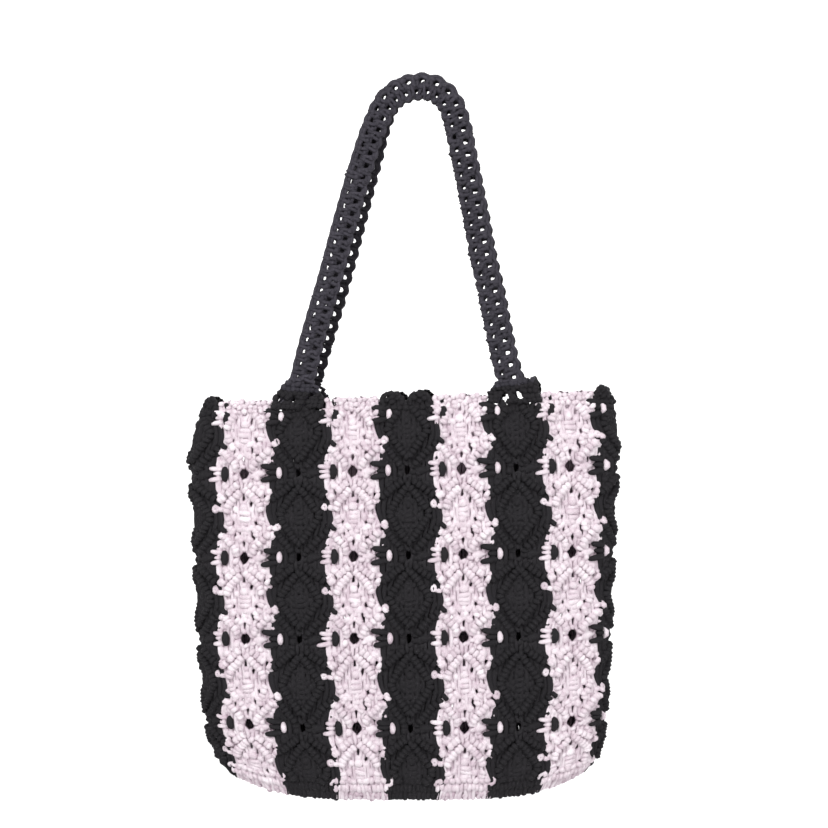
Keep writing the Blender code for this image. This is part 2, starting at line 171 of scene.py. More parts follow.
for level, down in enumerate(level_share):
    _, half_width, half_depth, middle_x, turned, strip_width = smooth_reading(SECTIONS, down)
    # a quarter of this level's outline, from the middle of the front to the side
    angle = math.pi / 2 * np.linspace(0.0, 1.0, 161) ** 2
    quarter_x = half_width * np.sin(angle) ** (2 / SECTION_POWER)
    quarter_y = half_depth * np.cos(angle)
    steps = np.hypot(np.diff(quarter_x), np.diff(quarter_y))
    quarter = np.concatenate([[0.0], np.cumsum(steps)])
    # how far round the outline each place lies: the side strips take what the others leave
    side_width = 2 * quarter[-1] - 2 * FRONT_EDGE * strip_width
    size = np.abs(place_around)
    from_back = 2 * quarter[-1] - (HALF_AROUND - size) * strip_width
    distance = np.where(size <= FRONT_EDGE, size * strip_width, from_back)
    on_side = (size > FRONT_EDGE) & (size <= FRONT_EDGE + 1)
    side_distance = FRONT_EDGE * strip_width + (size - FRONT_EDGE) * side_width
    distance = np.where(on_side, side_distance, distance)
    distance = np.copysign(distance, place_around) + turned
    whole = 4 * quarter[-1]
    distance = (distance + whole / 2) % whole - whole / 2
    in_front = np.abs(distance) <= quarter[-1]
    measure = np.where(in_front, np.abs(distance), 2 * quarter[-1] - np.abs(distance))
    x = np.interp(measure, quarter, quarter_x) * np.sign(distance)
    y = np.interp(measure, quarter, quarter_y) * np.where(in_front, -1.0, 1.0)
    outwards, downwards = CORNER_POWERS
    lift = CORNER_LIFT / MM * (np.abs(x) * MM / CORNER_AT) ** outwards * down ** downwards
    rim = RIM_HEIGHT / MM + RIM_SLOPE * x
    cloth_grid[level, :, 0] = middle_x + x
    cloth_grid[level, :, 1] = y
    cloth_grid[level, :, 2] = rim + (BOTTOM_HEIGHT / MM - rim) * down + lift
    strip_widths[level] = strip_width
    side_widths[level] = side_width

step_around = np.roll(cloth_grid[:, :-1], -2, axis=1) - np.roll(cloth_grid[:, :-1], 2, axis=1)
step_around = np.concatenate([step_around, step_around[:, :1]], axis=1)
step_down = np.gradient(cloth_grid, axis=0)
cloth_normals = np.cross(step_down, step_around)
cloth_normals /= np.linalg.norm(cloth_normals, axis=2, keepdims=True)


def lay_on_bag(strip, flat):
    """Points drawn flat on a strip (across, down, out; millimetres) taken to the hung bag."""
    across, down, out = flat[..., 0], flat[..., 1] / DROP, flat[..., 2]
    held = np.clip(down, 0.0, 1.0)
    widths, share = strip_widths, np.ones(LEVELS)
    if abs(strip) == SIDE_STRIP:
        widths, share = side_widths, side_widths / STRIP_WIDTH
    around = strip + across * np.interp(held, level_share, share / widths)
    around = (around + HALF_AROUND) % STRIPS_AROUND
    column = around / STRIPS_AROUND * (PLACES - 1)
    row = held * (LEVELS - 1)
    c0 = np.clip(column.astype(int), 0, PLACES - 2)
    r0 = np.clip(row.astype(int), 0, LEVELS - 2)
    c, r = (column - c0)[..., None], (row - r0)[..., None]

    def between(grid):
        upper = grid[r0, c0] * (1 - c) + grid[r0, c0 + 1] * c
        lower = grid[r0 + 1, c0] * (1 - c) + grid[r0 + 1, c0 + 1] * c
        return upper * (1 - r) + lower * r

    point, normal = between(cloth_grid), between(cloth_normals)
    normal /= np.linalg.norm(normal, axis=-1, keepdims=True)
    laid = point + normal * out[..., None]
    laid[..., 2] -= (down - held) * DROP
    return laid * MM


# ---- The cord ----
# All of the bag is knotted from one thickness of soft braided cord, white and black. The
# braid gives its surface fine slanting ribs, and the cord is worn unevenly, in small patches.

CORD = 3.9                        # how thick the cord is, in millimetres

cord_braid = bpy.data.node_groups.new("cord_braid", "ShaderNodeTree")
for socket, way, kind in (
    ("Rib Length", "INPUT", "NodeSocketFloat"),
    ("Ribs Around", "INPUT", "NodeSocketFloat"),
    ("Fuzz", "INPUT", "NodeSocketFloat"),
    ("Height", "OUTPUT", "NodeSocketFloat"),
    ("Wear and Rib Shade", "OUTPUT", "NodeSocketFloat"),
):
    cord_braid.interface.new_socket(socket, in_out=way, socket_type=kind)


def sums(tree, operation, first, second=None):
    """A Math node: each input is a socket or a plain number."""
    node = tree.nodes.new("ShaderNodeMath")
    node.operation = operation
    for place, value in enumerate((first, second)):
        if value is None:
            continue
        if isinstance(value, (int, float)):
            node.inputs[place].default_value = value
        else:
            tree.links.new(value, node.inputs[place])
    return node.outputs["Value"]


# The ribs: two sets that slant the two ways round the cord, and a fuzz of fibres over them.
values_in = cord_braid.nodes.new("NodeGroupInput").outputs
values_out = cord_braid.nodes.new("NodeGroupOutput").inputs
lengthways = cord_braid.nodes.new("ShaderNodeUVMap")
lengthways.uv_map = "cord"
split = cord_braid.nodes.new("ShaderNodeSeparateXYZ")
cord_braid.links.new(lengthways.outputs["UV"], split.inputs["Vector"])
along = sums(cord_braid, "DIVIDE", split.outputs["X"], values_in["Rib Length"])
round_cord = sums(cord_braid, "MULTIPLY", split.outputs["Y"], values_in["Ribs Around"])
ribs = []
for way in ("ADD", "SUBTRACT"):
    slant = sums(cord_braid, way, along, round_cord)
    turn = sums(cord_braid, "MULTIPLY", slant, 2 * math.pi)
    ribs.append(sums(cord_braid, "ABSOLUTE", sums(cord_braid, "SINE", turn)))
plaited = sums(cord_braid, "MULTIPLY", ribs[0], ribs[1])
fibres = cord_braid.nodes.new("ShaderNodeTexNoise")
fibres.inputs["Scale"].default_value = 2600.0
fibres.inputs["Detail"].default_value = 3.0
where = cord_braid.nodes.new("ShaderNodeTexCoord")
cord_braid.links.new(where.outputs["Object"], fibres.inputs["Vector"])
fuzz = sums(cord_braid, "MULTIPLY", fibres.outputs["Fac"], values_in["Fuzz"])
cord_braid.links.new(sums(cord_braid, "ADD", plaited, fuzz), values_out["Height"])

# The mottle: mostly patches of wear, and partly painted shade in the grooves between the ribs, which
# leaves the ribs lighter.
PATCH_PART = 0.75
RIB_SHADE_PART = 0.45
patches = cord_braid.nodes.new("ShaderNodeTexNoise")
patches.inputs["Scale"].default_value = 90.0
patches.inputs["Detail"].default_value = 5.0
patches.inputs["Roughness"].default_value = 0.72
cord_braid.links.new(where.outputs["Object"], patches.inputs["Vector"])
stretched = cord_braid.nodes.new("ShaderNodeMapRange")
stretched.inputs["From Min"].default_value = 0.37
stretched.inputs["From Max"].default_value = 0.65
cord_braid.links.new(patches.outputs["Fac"], stretched.inputs["Value"])
worn = sums(cord_braid, "MULTIPLY", stretched.outputs["Result"], PATCH_PART)
painted_rib_shade = sums(cord_braid, "MULTIPLY", plaited, RIB_SHADE_PART)
cord_braid.links.new(sums(cord_braid, "ADD", worn, painted_rib_shade), values_out["Wear and Rib Shade"])


# The patches' share of the tone carries the painted shade between the braid's ribs as well as the wear.
CORD_TO_CORD = 0.35               # how much of the tone goes by cord, and how much by patch
PATCH_AND_RIB_SHADE = 0.65
ROUGHNESS_SPREAD = 0.08


def cord_material(name, light, dark, deep, roughness, fuzz):
    """Braided cord: two tones that vary from cord to cord and in patches of wear, with painted
    shade in the grooves between the braid's ribs, and a deep tone painted into the hollows
    between the knots: painted shade on the white cord and the handles' cord, and painted
    light that lifts the hollows of the black cord."""
    made = bpy.data.materials.new(name)
    made.use_nodes = True
    tree = made.node_tree
    skin = tree.nodes["Principled BSDF"]
    skin.inputs["Specular IOR Level"].default_value = 0.25
    braid = tree.nodes.new("ShaderNodeGroup")
    braid.node_tree = cord_braid
    braid.inputs["Rib Length"].default_value = 2.6
    braid.inputs["Ribs Around"].default_value = 4.0
    braid.inputs["Fuzz"].default_value = fuzz
    tone = tree.nodes.new("ShaderNodeAttribute")
    tone.attribute_name = "tone"
    painted_hollow_mask = tree.nodes.new("ShaderNodeAttribute")
    painted_hollow_mask.attribute_name = "painted_hollow_mask"
    by_cord = sums(tree, "MULTIPLY", tone.outputs["Fac"], CORD_TO_CORD)
    by_patch_and_rib_shade = sums(tree, "MULTIPLY", braid.outputs["Wear and Rib Shade"], PATCH_AND_RIB_SHADE)
    varied = sums(tree, "ADD", by_cord, by_patch_and_rib_shade)
    colour = tree.nodes.new("ShaderNodeMix")
    colour.data_type = "RGBA"
    colour.inputs["A"].default_value = dark
    colour.inputs["B"].default_value = light
    tree.links.new(varied, colour.inputs["Factor"])
    # painted light and shade in the hollows: the deep tone is mixed in where the cord lies deep among the
    # knots
    painted_hollow_mix = tree.nodes.new("ShaderNodeMix")
    painted_hollow_mix.data_type = "RGBA"
    painted_hollow_mix.inputs["B"].default_value = deep
    tree.links.new(colour.outputs["Result"], painted_hollow_mix.inputs["A"])
    tree.links.new(painted_hollow_mask.outputs["Fac"], painted_hollow_mix.inputs["Factor"])
    tree.links.new(painted_hollow_mix.outputs["Result"], skin.inputs["Base Color"])
    rough = tree.nodes.new("ShaderNodeMapRange")
    rough.inputs["To Min"].default_value = roughness - ROUGHNESS_SPREAD
    rough.inputs["To Max"].default_value = roughness + ROUGHNESS_SPREAD
    tree.links.new(braid.outputs["Wear and Rib Shade"], rough.inputs["Value"])
    tree.links.new(rough.outputs["Result"], skin.inputs["Roughness"])
    bump = tree.nodes.new("ShaderNodeBump")
    bump.inputs["Strength"].default_value = 0.55
    bump.inputs["Distance"].default_value = 0.0005
    tree.links.new(braid.outputs["Height"], bump.inputs["Height"])
    tree.links.new(bump.outputs["Normal"], skin.inputs["Normal"])
    return made


# The deep tones are painted into the hollows: on the white cord a darker, pinker painted shade, and on the
# black cord a lighter tone, painted light that lifts its hollows.
white_cord = cord_material(
    "white_cord", light=(0.93, 0.865, 0.90, 1), dark=(0.55, 0.43, 0.495, 1),
    deep=(0.55, 0.43, 0.50, 1), roughness=0.85, fuzz=0.6)
black_cord = cord_material(
    "black_cord", light=(0.016, 0.0145, 0.0170, 1), dark=(0.011, 0.0100, 0.0120, 1),
    deep=(0.050, 0.046, 0.052, 1), roughness=0.80, fuzz=0.5)


# ---- The knots, each modelled once ----
# A half hitch shows as one short turn of cord over the cord that it holds, and a square knot
# as two or three such turns close together. A loop stands out where a cord turns back at the
# edge of a strip. The turns of the back, of the base and across the handles' knots are made
# of a cord with one side less.


def read_shape(made):
    """The points, faces and cord UVs of a finished shape, in millimetres, as plain arrays."""
    bpy.ops.object.mode_set(mode="OBJECT")
    bpy.ops.object.select_all(action="DESELECT")
    mesh = made.data
    points = np.empty(len(mesh.vertices) * 3)
    mesh.vertices.foreach_get("co", points)
    faces = [tuple(face.vertices) for face in mesh.polygons]
    uv = np.empty(len(mesh.loops) * 2)
    mesh.uv_layers.active.data.foreach_get("uv", uv)
    shape = {"points": points.reshape(-1, 3), "faces": faces, "uv": uv.reshape(-1, 2)}
    bpy.data.objects.remove(made)
    return shape


def turn_of_cord(span, rise, thick, pieces, sides, cut):
    """A turn of cord that goes up, over and down again, with its ends cut off below."""
    bpy.ops.object.select_all(action="DESELECT")
    bpy.ops.mesh.primitive_torus_add(
        major_segments=pieces, minor_segments=sides, rotation=(math.pi / 2, 0, 0),
        major_radius=(span - thick) / 2, minor_radius=thick / 2, generate_uvs=True)
    made = bpy.context.object
    bpy.ops.object.transform_apply(location=False, rotation=True, scale=False)
    bpy.ops.object.mode_set(mode="EDIT")
    bpy.ops.mesh.select_all(action="SELECT")
    bpy.ops.mesh.bisect(plane_co=(0, 0, cut), plane_no=(0, 0, 1), clear_inner=True)
    bpy.ops.mesh.select_all(action="SELECT")
    bpy.ops.transform.resize(value=(1, 1, rise / (span / 2)))
    shape = read_shape(made)
    shape["uv"][:, 0] *= math.pi * (span - thick)
    return shape


def ring_of_cord(across, thick, pieces, sides, taller):
    """A closed loop of cord that lies flat, a little taller than it is wide."""
    bpy.ops.object.select_all(action="DESELECT")
    bpy.ops.mesh.primitive_torus_add(
        major_segments=pieces, minor_segments=sides, generate_uvs=True,
        major_radius=(across - thick) / 2, minor_radius=thick / 2)
    bpy.ops.object.mode_set(mode="EDIT")
    bpy.ops.mesh.select_all(action="SELECT")
    bpy.ops.transform.resize(value=(1.0, taller, 1.0))
    shape = read_shape(bpy.context.object)
    shape["uv"][:, 0] *= math.pi * (across - thick)
    return shape


hitch, hitch_behind = (
    turn_of_cord(span=9.0, rise=3.9, thick=4.7, pieces=8, sides=sides, cut=-0.2) for sides in (6, 5))
border_loop = ring_of_cord(across=6.7, thick=3.4, pieces=9, sides=5, taller=1.15)

# How far a copy of a knot strays: sideways and out in millimetres, in its turn in degrees,
# and in its size as a share.
STRAY_ASIDE = 0.28
STRAY_OUT = 0.18
STRAY_TURN = 4.5
STRAY_SIZE = 0.045


class Work:
    """Gathers the cords of one piece, drawn flat, before they are laid on the bag."""

    def __init__(self):
        self.points, self.faces, self.uv, self.tone, self.skins = [], [], [], [], []
        self.count = 0
        self.skin = 0             # which of the piece's materials the next cords take

    def add(self, points, quads, uv, tone):
        """Takes in a bunch of cords: points, faces of four, where they lie on the cord, tones."""
        self.points.append(points.reshape(-1, 3))
        self.faces.append(quads.reshape(-1, 4) + self.count)
        self.uv.append(uv.reshape(-1, 2))
        self.tone.append(tone.reshape(-1))
        self.skins.append(np.full(quads.size // 4, self.skin, np.int32))
        self.count += points.size // 3

    def copies(self, shape, places, chance, loose=1.0, tones=(0.0, 1.0)):
        """One copy of a knot for each row: across, down, out, turn, length, width, rise."""
        places = np.array(places, float).reshape(-1, 7)
        number = len(places)
        if not number:
            return
        places[:, 0:2] += chance.normal(0.0, STRAY_ASIDE * loose, (number, 2))
        places[:, 2] += chance.normal(0.0, STRAY_OUT * loose, number)
        places[:, 3] += chance.normal(0.0, STRAY_TURN * loose, number)
        places[:, 4:7] *= chance.normal(1.0, STRAY_SIZE * loose, (number, 3))
        turn = np.radians(places[:, 3])
        base = shape["points"][None] * places[:, None, 4:7]
        x = base[..., 0] * np.cos(turn)[:, None] - base[..., 1] * np.sin(turn)[:, None]
        y = base[..., 0] * np.sin(turn)[:, None] + base[..., 1] * np.cos(turn)[:, None]
        points = np.stack([x, y, base[..., 2]], axis=-1) + places[:, None, 0:3]
        # the few odd faces where a turn was cut off lie out of sight and are left out
        quads = np.array([face for face in shape["faces"] if len(face) == 4])
        keep = np.concatenate([[len(face) == 4] * len(face) for face in shape["faces"]])
        uv = np.broadcast_to(shape["uv"][keep], (number, keep.sum(), 2))
        steps = np.arange(number)[:, None, None] * len(shape["points"])
        tone = np.repeat(chance.uniform(*tones, number), len(shape["points"]))
        self.add(points, quads[None] + steps, uv, tone)

    def cords(self, paths, thick, chance, sides=6, closed=False):
        """Round cords along paths: an array of cords, points and (across, down, out)."""
        paths = np.asarray(paths, float)
        number, length = paths.shape[:2]
        thick = np.broadcast_to(np.asarray(thick, float), (number, length))
        if closed:
            run = np.roll(paths, -1, axis=1) - np.roll(paths, 1, axis=1)
        else:
            run = np.gradient(paths, axis=1)
        run /= np.linalg.norm(run, axis=2, keepdims=True) + 1e-9
        # each ring of points is kept from twisting against the one before it
        start = np.zeros((number, 3))
        start[np.arange(number), np.argmin(np.abs(run[:, 0]), axis=1)] = 1.0
        sideways = np.zeros_like(paths)
        for i in range(length):
            start = start - (start * run[:, i]).sum(axis=1, keepdims=True) * run[:, i]
            start /= np.linalg.norm(start, axis=1, keepdims=True) + 1e-9
            sideways[:, i] = start
        second = np.cross(run, sideways)
        angle = np.linspace(0.0, 2 * math.pi, sides, endpoint=False)
        ring = (
            sideways[:, :, None] * np.cos(angle)[:, None]
            + second[:, :, None] * np.sin(angle)[:, None]
        )
        points = paths[:, :, None] + ring * (thick / 2)[:, :, None, None]
        bays = length if closed else length - 1
        i, j = np.meshgrid(np.arange(bays), np.arange(sides), indexing="ij")
        nexti, nextj = (i + 1) % length, (j + 1) % sides
        here, there = i * sides, nexti * sides
        quads = np.stack([here + j, here + nextj, there + nextj, there + j], axis=-1).reshape(-1, 4)
        gaps = np.linalg.norm(np.diff(paths, axis=1), axis=2).mean(axis=0)
        lengths = np.concatenate([[0.0], np.cumsum(gaps), [gaps.sum() + gaps.mean()]])
        low, high = lengths[i.ravel()], lengths[i.ravel() + 1]
        around = j.ravel() / sides
        more = around + 1 / sides
        uv = np.stack([low, around, low, more, high, more, high, around], axis=-1).reshape(-1, 2)
        uv = np.broadcast_to(uv, (number, *uv.shape))
        steps = np.arange(number)[:, None, None] * length * sides
        tone = np.repeat(chance.uniform(0.0, 1.0, number), length * sides)
        self.add(points, quads[None] + steps, uv, tone)

    def piece(self, name, materials, lay, painted_hollow_from, painted_hollow_to):
        """Makes the piece: every point is laid in its place, and the mesh is built at once.
        Where laying it mirrors it, the faces are turned so that they still look outwards. It
        takes painted light and shade for its hollows from where it lies deep: none at the first
        depth given, all at the second."""
        flat = np.concatenate(self.points)
        faces = np.concatenate(self.faces)
        uv = np.concatenate(self.uv)
        placed = lay(flat)
        corner = lay(flat.mean(axis=0) + np.vstack([np.zeros(3), np.eye(3)]))
        if np.linalg.det(corner[1:] - corner[0]) < 0:
            faces = faces[:, ::-1]
            uv = uv.reshape(-1, 4, 2)[:, ::-1].reshape(-1, 2)
        mesh = bpy.data.meshes.new(name)
        mesh.vertices.add(len(placed))
        mesh.vertices.foreach_set("co", placed.ravel())
        mesh.loops.add(faces.size)
        mesh.loops.foreach_set("vertex_index", faces.ravel().astype(np.int32))
        mesh.polygons.add(len(faces))
        mesh.polygons.foreach_set("loop_start", np.arange(0, faces.size, 4, dtype=np.int32))
        mesh.update(calc_edges=True)
        layer = mesh.uv_layers.new(name="cord")
        layer.data.foreach_set("uv", uv.ravel().astype(np.float32))
        tone = mesh.attributes.new("tone", "FLOAT", "POINT")
        tone.data.foreach_set("value", np.concatenate(self.tone).astype(np.float32))
        # how much of the painted hollow tone each point takes: shade on most cords, light on the black one
        depth = np.clip((painted_hollow_from - flat[:, 2]) / (painted_hollow_from - painted_hollow_to), 0.0, 1.0)
        painted_hollow_mask = mesh.attributes.new("painted_hollow_mask", "FLOAT", "POINT")
        painted_hollow_mask.data.foreach_set("value", depth.astype(np.float32))
        mesh.polygons.foreach_set("use_smooth", np.ones(len(faces), bool))
        mesh.polygons.foreach_set("material_index", np.concatenate(self.skins))
        for material in materials:
            mesh.materials.append(material)
        made = bpy.data.objects.new(name, mesh)
        bpy.context.scene.collection.objects.link(made)
        return made


# ---- The strips ----
# Sixteen strips of knotted cord, white and black in turn, stand side by side round the bag.
# Each is a run of diamonds: bars of hitches round a cushion of square knots, with an eye
# between two diamonds, and the strips are tied to each other beside every eye.

EYE_DOWN = (0.182, 0.393, 0.598, 0.821)
CELL = 71.0                       # the usual drop from one eye to the next
HALF_STRIP = STRIP_WIDTH / 2
RIM_TIE = 14.5                    # how far below the rim the strips are first tied

# How far the border between two strips is drawn to the right, down one cell, and how much
# the white strip draws in there. The black ones spread by as much.
BORDER_AT = (0.0, 0.10, 0.25, 0.38, 0.46, 0.55, 0.63, 0.75, 0.87, 1.0)
BORDER_SHIFT = (-1.0, 0.0, 0.6, -0.2, 0.6, 2.6, 4.2, 3.2, 1.5, -1.0)
DRAWN_AT = (0.0, 0.15, 0.27, 0.36, 0.44, 0.55, 0.64, 0.74, 0.87, 1.0)
DRAWN_IN = (0.4, 0.4, 1.0, 3.4, 4.6, 4.4, 2.4, 0.4, 0.0, 0.4)

# A diamond is a ring of hitches: its middle below the eye, how wide and tall, how square.
RING_MIDDLE = (0.5, 36.4)
RING_REACH = (15.6, 23.6)
RING_POWER = 1.16
HITCH_PITCH = 3.9

# Outside the ring four more bars of hitches run from the eyes out to the borders.
BARS = (
    ((-4.4, 9.0), (-11.0, 14.2), (-21.6, 23.0)),
    ((5.0, 9.0), (12.0, 14.6), (21.4, 21.6)),
    ((25.6, 45.4), (19.6, 51.6), (6.6, 67.0)),
    ((-20.4, 49.0), (-14.6, 55.4), (-5.4, 66.6)),
)

# How far out the hitches of the ring and of the bars lie, how long they are and how high.
RING_HITCH = (4.0, 0.86, 1.15)
BAR_HITCH = (3.8, 0.82, 1.2)

# On a white strip only the upper bars of the ring stand out, and the lower ones lie flatter.
PALE_RING = (
    (((0.4, 12.4), (8.0, 19.4), (13.6, 25.6), (16.2, 32.0)), 3.9, 0.86, 1.15),
    (((-2.4, 14.6), (-7.4, 19.6), (-12.8, 25.8), (-15.4, 32.4)), 3.9, 0.86, 1.15),
    (((16.0, 36.4), (13.2, 43.6), (7.6, 52.0), (1.6, 59.4)), 2.2, 0.86, 0.95),
    (((-15.2, 36.8), (-12.6, 43.6), (-7.2, 51.6), (-2.0, 58.0)), 2.2, 0.86, 0.95),
)

# The loose turns of cord in a cell, in the diamond's cushion, beside the eye and beside the
# ring: across, down from the eye, turn, length, thickness, rise.
CUSHION = (
    (0.2, 24.0, 0, 0.8, 1.0, 0.9), (0.2, 28.8, 8, 0.95, 1.5, 1.35), (-6.2, 30.6, 58, 0.85, 1.1, 1.0),
    (6.8, 31.0, -58, 0.85, 1.1, 1.0), (0.6, 34.4, -3, 1.3, 1.0, 1.2), (0.4, 38.2, 3, 1.5, 1.0, 1.25),
    (0.6, 42.2, -2, 1.25, 1.0, 1.15), (-8.8, 37.6, 82, 0.85, 1.1, 0.95), (9.4, 38.0, 98, 0.85, 1.1, 0.95),
    (-6.6, 46.6, 40, 1.15, 1.15, 1.1), (7.2, 46.8, -40, 1.15, 1.15, 1.1), (-1.8, 50.6, 46, 0.8, 1.0, 1.0),
    (2.8, 50.8, -46, 0.8, 1.0, 1.0), (0.6, 54.6, 0, 0.75, 1.0, 0.9), (0.5, 46.4, 0, 0.7, 1.1, 1.0),
)
# The black diamonds are packed closer.
PACKED = (
    (-4.6, 25.4, 30, 0.75, 1.0, 1.1), (5.0, 25.6, -30, 0.75, 1.0, 1.1), (-9.4, 32.4, 60, 0.75, 1.0, 1.1),
    (10.0, 32.4, -60, 0.75, 1.0, 1.1), (-10.6, 42.0, -60, 0.8, 1.0, 1.1), (11.2, 42.0, 60, 0.8, 1.0, 1.1),
    (-3.6, 47.4, -20, 0.75, 1.0, 1.1), (4.4, 47.4, 20, 0.75, 1.0, 1.1), (-5.0, 35.8, 80, 0.8, 1.0, 1.1),
    (5.6, 36.0, 96, 0.8, 1.0, 1.1), (-4.8, 41.0, 100, 0.8, 1.0, 1.1), (5.4, 41.2, 78, 0.8, 1.0, 1.1),
    (0.2, 19.6, 0, 0.7, 1.0, 1.0),
)
BESIDE_EYE = (
    (7.0, -2.8, 10, 0.85, 0.9, 1.2), (7.2, 2.6, -12, 0.85, 0.9, 1.2), (-7.2, -3.4, 74, 0.9, 1.3, 1.2),
    (11.6, -3.4, 76, 0.75, 1.05, 1.2), (11.8, 3.6, 100, 0.75, 1.05, 1.2),
    (-7.2, 3.6, 104, 0.9, 1.3, 1.2), (-1.0, -6.8, 24, 0.7, 0.9, 0.9), (1.0, 6.6, -24, 0.7, 0.9, 0.9),
    (-12.2, 9.4, 14, 0.8, 1.0, 0.9), (-17.2, 10.0, -14, 0.8, 1.0, 0.9), (-12.4, -9.4, -20, 0.8, 1.0, 0.9),
    (-17.0, -10.0, 16, 0.8, 1.0, 0.9), (13.6, 9.0, -12, 0.8, 1.0, 0.9), (14.6, -9.4, 24, 0.8, 1.0, 0.9),
)
BESIDE_RING = (
    (-9.2, 19.0, 50, 0.7, 0.9, 0.7), (-14.8, 23.6, 40, 0.7, 0.9, 0.7), (-18.4, 28.4, 20, 0.7, 1.0, 0.9),
    (-20.6, 16.8, 70, 0.75, 0.95, 0.9), (-15.8, 12.6, 84, 0.8, 1.5, 1.3), (-21.8, 19.4, 20, 0.8, 1.1, 1.2),
    (9.8, 18.6, -50, 0.7, 0.9, 0.7), (15.6, 22.6, -40, 0.7, 0.9, 0.7), (18.6, 26.2, -20, 0.75, 1.0, 0.9),
    (16.8, 12.4, 96, 0.8, 1.5, 1.3), (21.6, 17.0, 84, 0.75, 0.95, 1.0), (21.8, 24.4, 4, 0.75, 1.05, 1.1),
    (-17.4, 44.6, 30, 0.75, 1.0, 0.9), (-13.2, 49.6, 40, 0.7, 0.9, 0.7), (-7.6, 56.4, 44, 0.7, 0.9, 0.7),
    (-18.8, 55.6, 60, 0.9, 1.0, 0.9), (-15.8, 61.0, 60, 0.9, 1.0, 0.9), (-20.6, 61.0, 82, 0.8, 1.0, 0.9),
    (18.6, 43.0, -20, 0.75, 1.0, 0.9), (13.8, 49.4, -44, 0.7, 0.9, 0.7), (7.8, 57.6, -44, 0.7, 0.9, 0.7),
    (22.2, 52.6, 34, 0.85, 1.5, 1.5), (20.2, 57.8, 56, 0.9, 1.0, 0.9), (16.4, 62.4, 50, 0.85, 1.0, 0.9),
    (22.8, 61.4, 84, 0.75, 0.95, 1.0),
)
# How far out these lie, and how thick and how high they are against the tables.
LOOSE_OUT = 1.7
LOOSE_THICK = 1.08
LOOSE_RISE = 0.78
BESIDE_EYE_OUT = 1.5
BESIDE_EYE_RISE = 0.85

# The small gaps that are left between the turns: across and down from the eye.
GAPS = (
    (-0.2, 20.6), (5.2, 25.8), (-9.0, 42.6), (9.6, 42.6), (-4.6, 49.6), (5.9, 50.4), (0.4, 58.0),
    (18.6, 18.6), (20.8, 48.2), (9.6, 55.2), (-17.0, 48.6), (-9.6, 53.2), (14.0, 63.6), (-12.4, 63.4),
    (-16.6, 16.6),
)
GAP_SIZE = 1.7


def eye_rows(lower):
    """The middles of the cells' upper and lower eyes, with one more row at either end."""
    rows = [DROP * share + lower for share in EYE_DOWN]
    return [rows[0] - CELL] + rows + [rows[-1] + CELL]


def share_of_cell(down, rows):
    """How far down its cell a level lies, from 0 at the upper eye to 1 at the lower."""
    rows = np.array(rows)
    place = np.clip(np.searchsorted(rows, down, side="right") - 1, 0, len(rows) - 2)
    return (down - rows[place]) / (rows[place + 1] - rows[place])


def border_shift(down, rows):
    """How far the border lies to the right at this level."""
    return np.interp(share_of_cell(down, rows), BORDER_AT, BORDER_SHIFT)


def drawn_in(down, rows, white):
    """How far the strip's borders lie inside (white) or outside (black) their usual place."""
    return np.interp(share_of_cell(down, rows), DRAWN_AT, DRAWN_IN) * (1 if white else -1)


# The strips' upper edges. Two lobes: how deep, where the middle of each lies and how far it
# reaches. A dome: how far its top lies below the rim, how deep, how wide and how round it is.
LOBES = {"lobed": (7.4, 11.8, 12.2), "rounded": (9.0, 13.4, 11.0)}
DOME = (7.4, 7.4, 21.0, 1.4)
LEVEL_EDGE = 0.8


def top_edge(across, rim):
    """How far below the rim the strip's upper edge lies: level, in two lobes or as a dome."""
    away = np.abs(across)
    if rim in LOBES:
        deep, middle, reach = LOBES[rim]
        return deep - deep * np.sqrt(np.clip(1 - ((away - middle) / reach) ** 2, 0, 1))
    if rim == "domed":
        top, deep, reach, power = DOME
        return top + deep * (away / reach) ** power
    return np.full(np.shape(across), LEVEL_EDGE)


def spread(number, spacing):
    """Places side by side across the strip, evenly to both sides of its middle."""
    return (np.arange(number) - (number - 1) / 2) * spacing


CORDS_IN_STRIP = 12
CORD_SPACING = 3.86
EYE_HALF_HEIGHT = 6.0
EYE_HALF_WIDTH = 5.9              # the eyes of the white strips in front,
SMALL_EYE_HALF_WIDTH = 3.8        # and all the others, which are nearly closed


def upright_cords(work, rows, white, behind, rim, chance):
    """The cords that run down the strip under the knots, parted at each eye and each gap."""
    open_work = white and not behind
    rest = spread(CORDS_IN_STRIP, CORD_SPACING)[:, None]
    # from just below the upper edge to the foot, a little to and fro and in and out
    start = top_edge(rest, rim) + 1.0
    down = start + (DROP - 0.6 - start) * np.linspace(0, 1, 84 if behind else 100)[None]
    waves = chance.uniform(0, 2 * math.pi, (CORDS_IN_STRIP, 1))
    share = 1 - drawn_in(down, rows, white) / HALF_STRIP
    across = rest * share + 0.15 * np.sin(down / 5.2 + waves)
    out = (2.3 if white else 2.4) + 0.4 * np.sin(down / 4.1 + 2 * waves)
    for upper, lower in zip(rows, rows[1:]):
        for x, y in GAPS if open_work else ():
            from_gap = across - x - chance.normal(0, 0.4)
            near = np.exp(-((down - upper - y * (lower - upper) / CELL) / 2.6) ** 2)
            across = across + np.sign(from_gap) * GAP_SIZE * near * np.exp(-((from_gap / 4.5) ** 2))
    shift = border_shift(down, rows) * (np.abs(rest) / HALF_STRIP) ** 2 * 0.85
    across = across + shift
    eye_width = EYE_HALF_WIDTH if open_work else SMALL_EYE_HALF_WIDTH
    for eye in rows[1:-1]:
        from_eye = ((down - eye) / EYE_HALF_HEIGHT) ** 2
        near = np.clip(1 - from_eye, 0, None) ** 0.5 * eye_width
        across = np.sign(across) * np.sqrt(across ** 2 + near ** 2 * np.exp(-((across / 15) ** 2)))
        out = out - 1.8 * np.exp(-from_eye)
    paths = np.stack([across, down, out], axis=-1)
    work.cords(paths, CORD * 1.1 * share * (1 + 0.06 * np.abs(shift)), chance, sides=5)


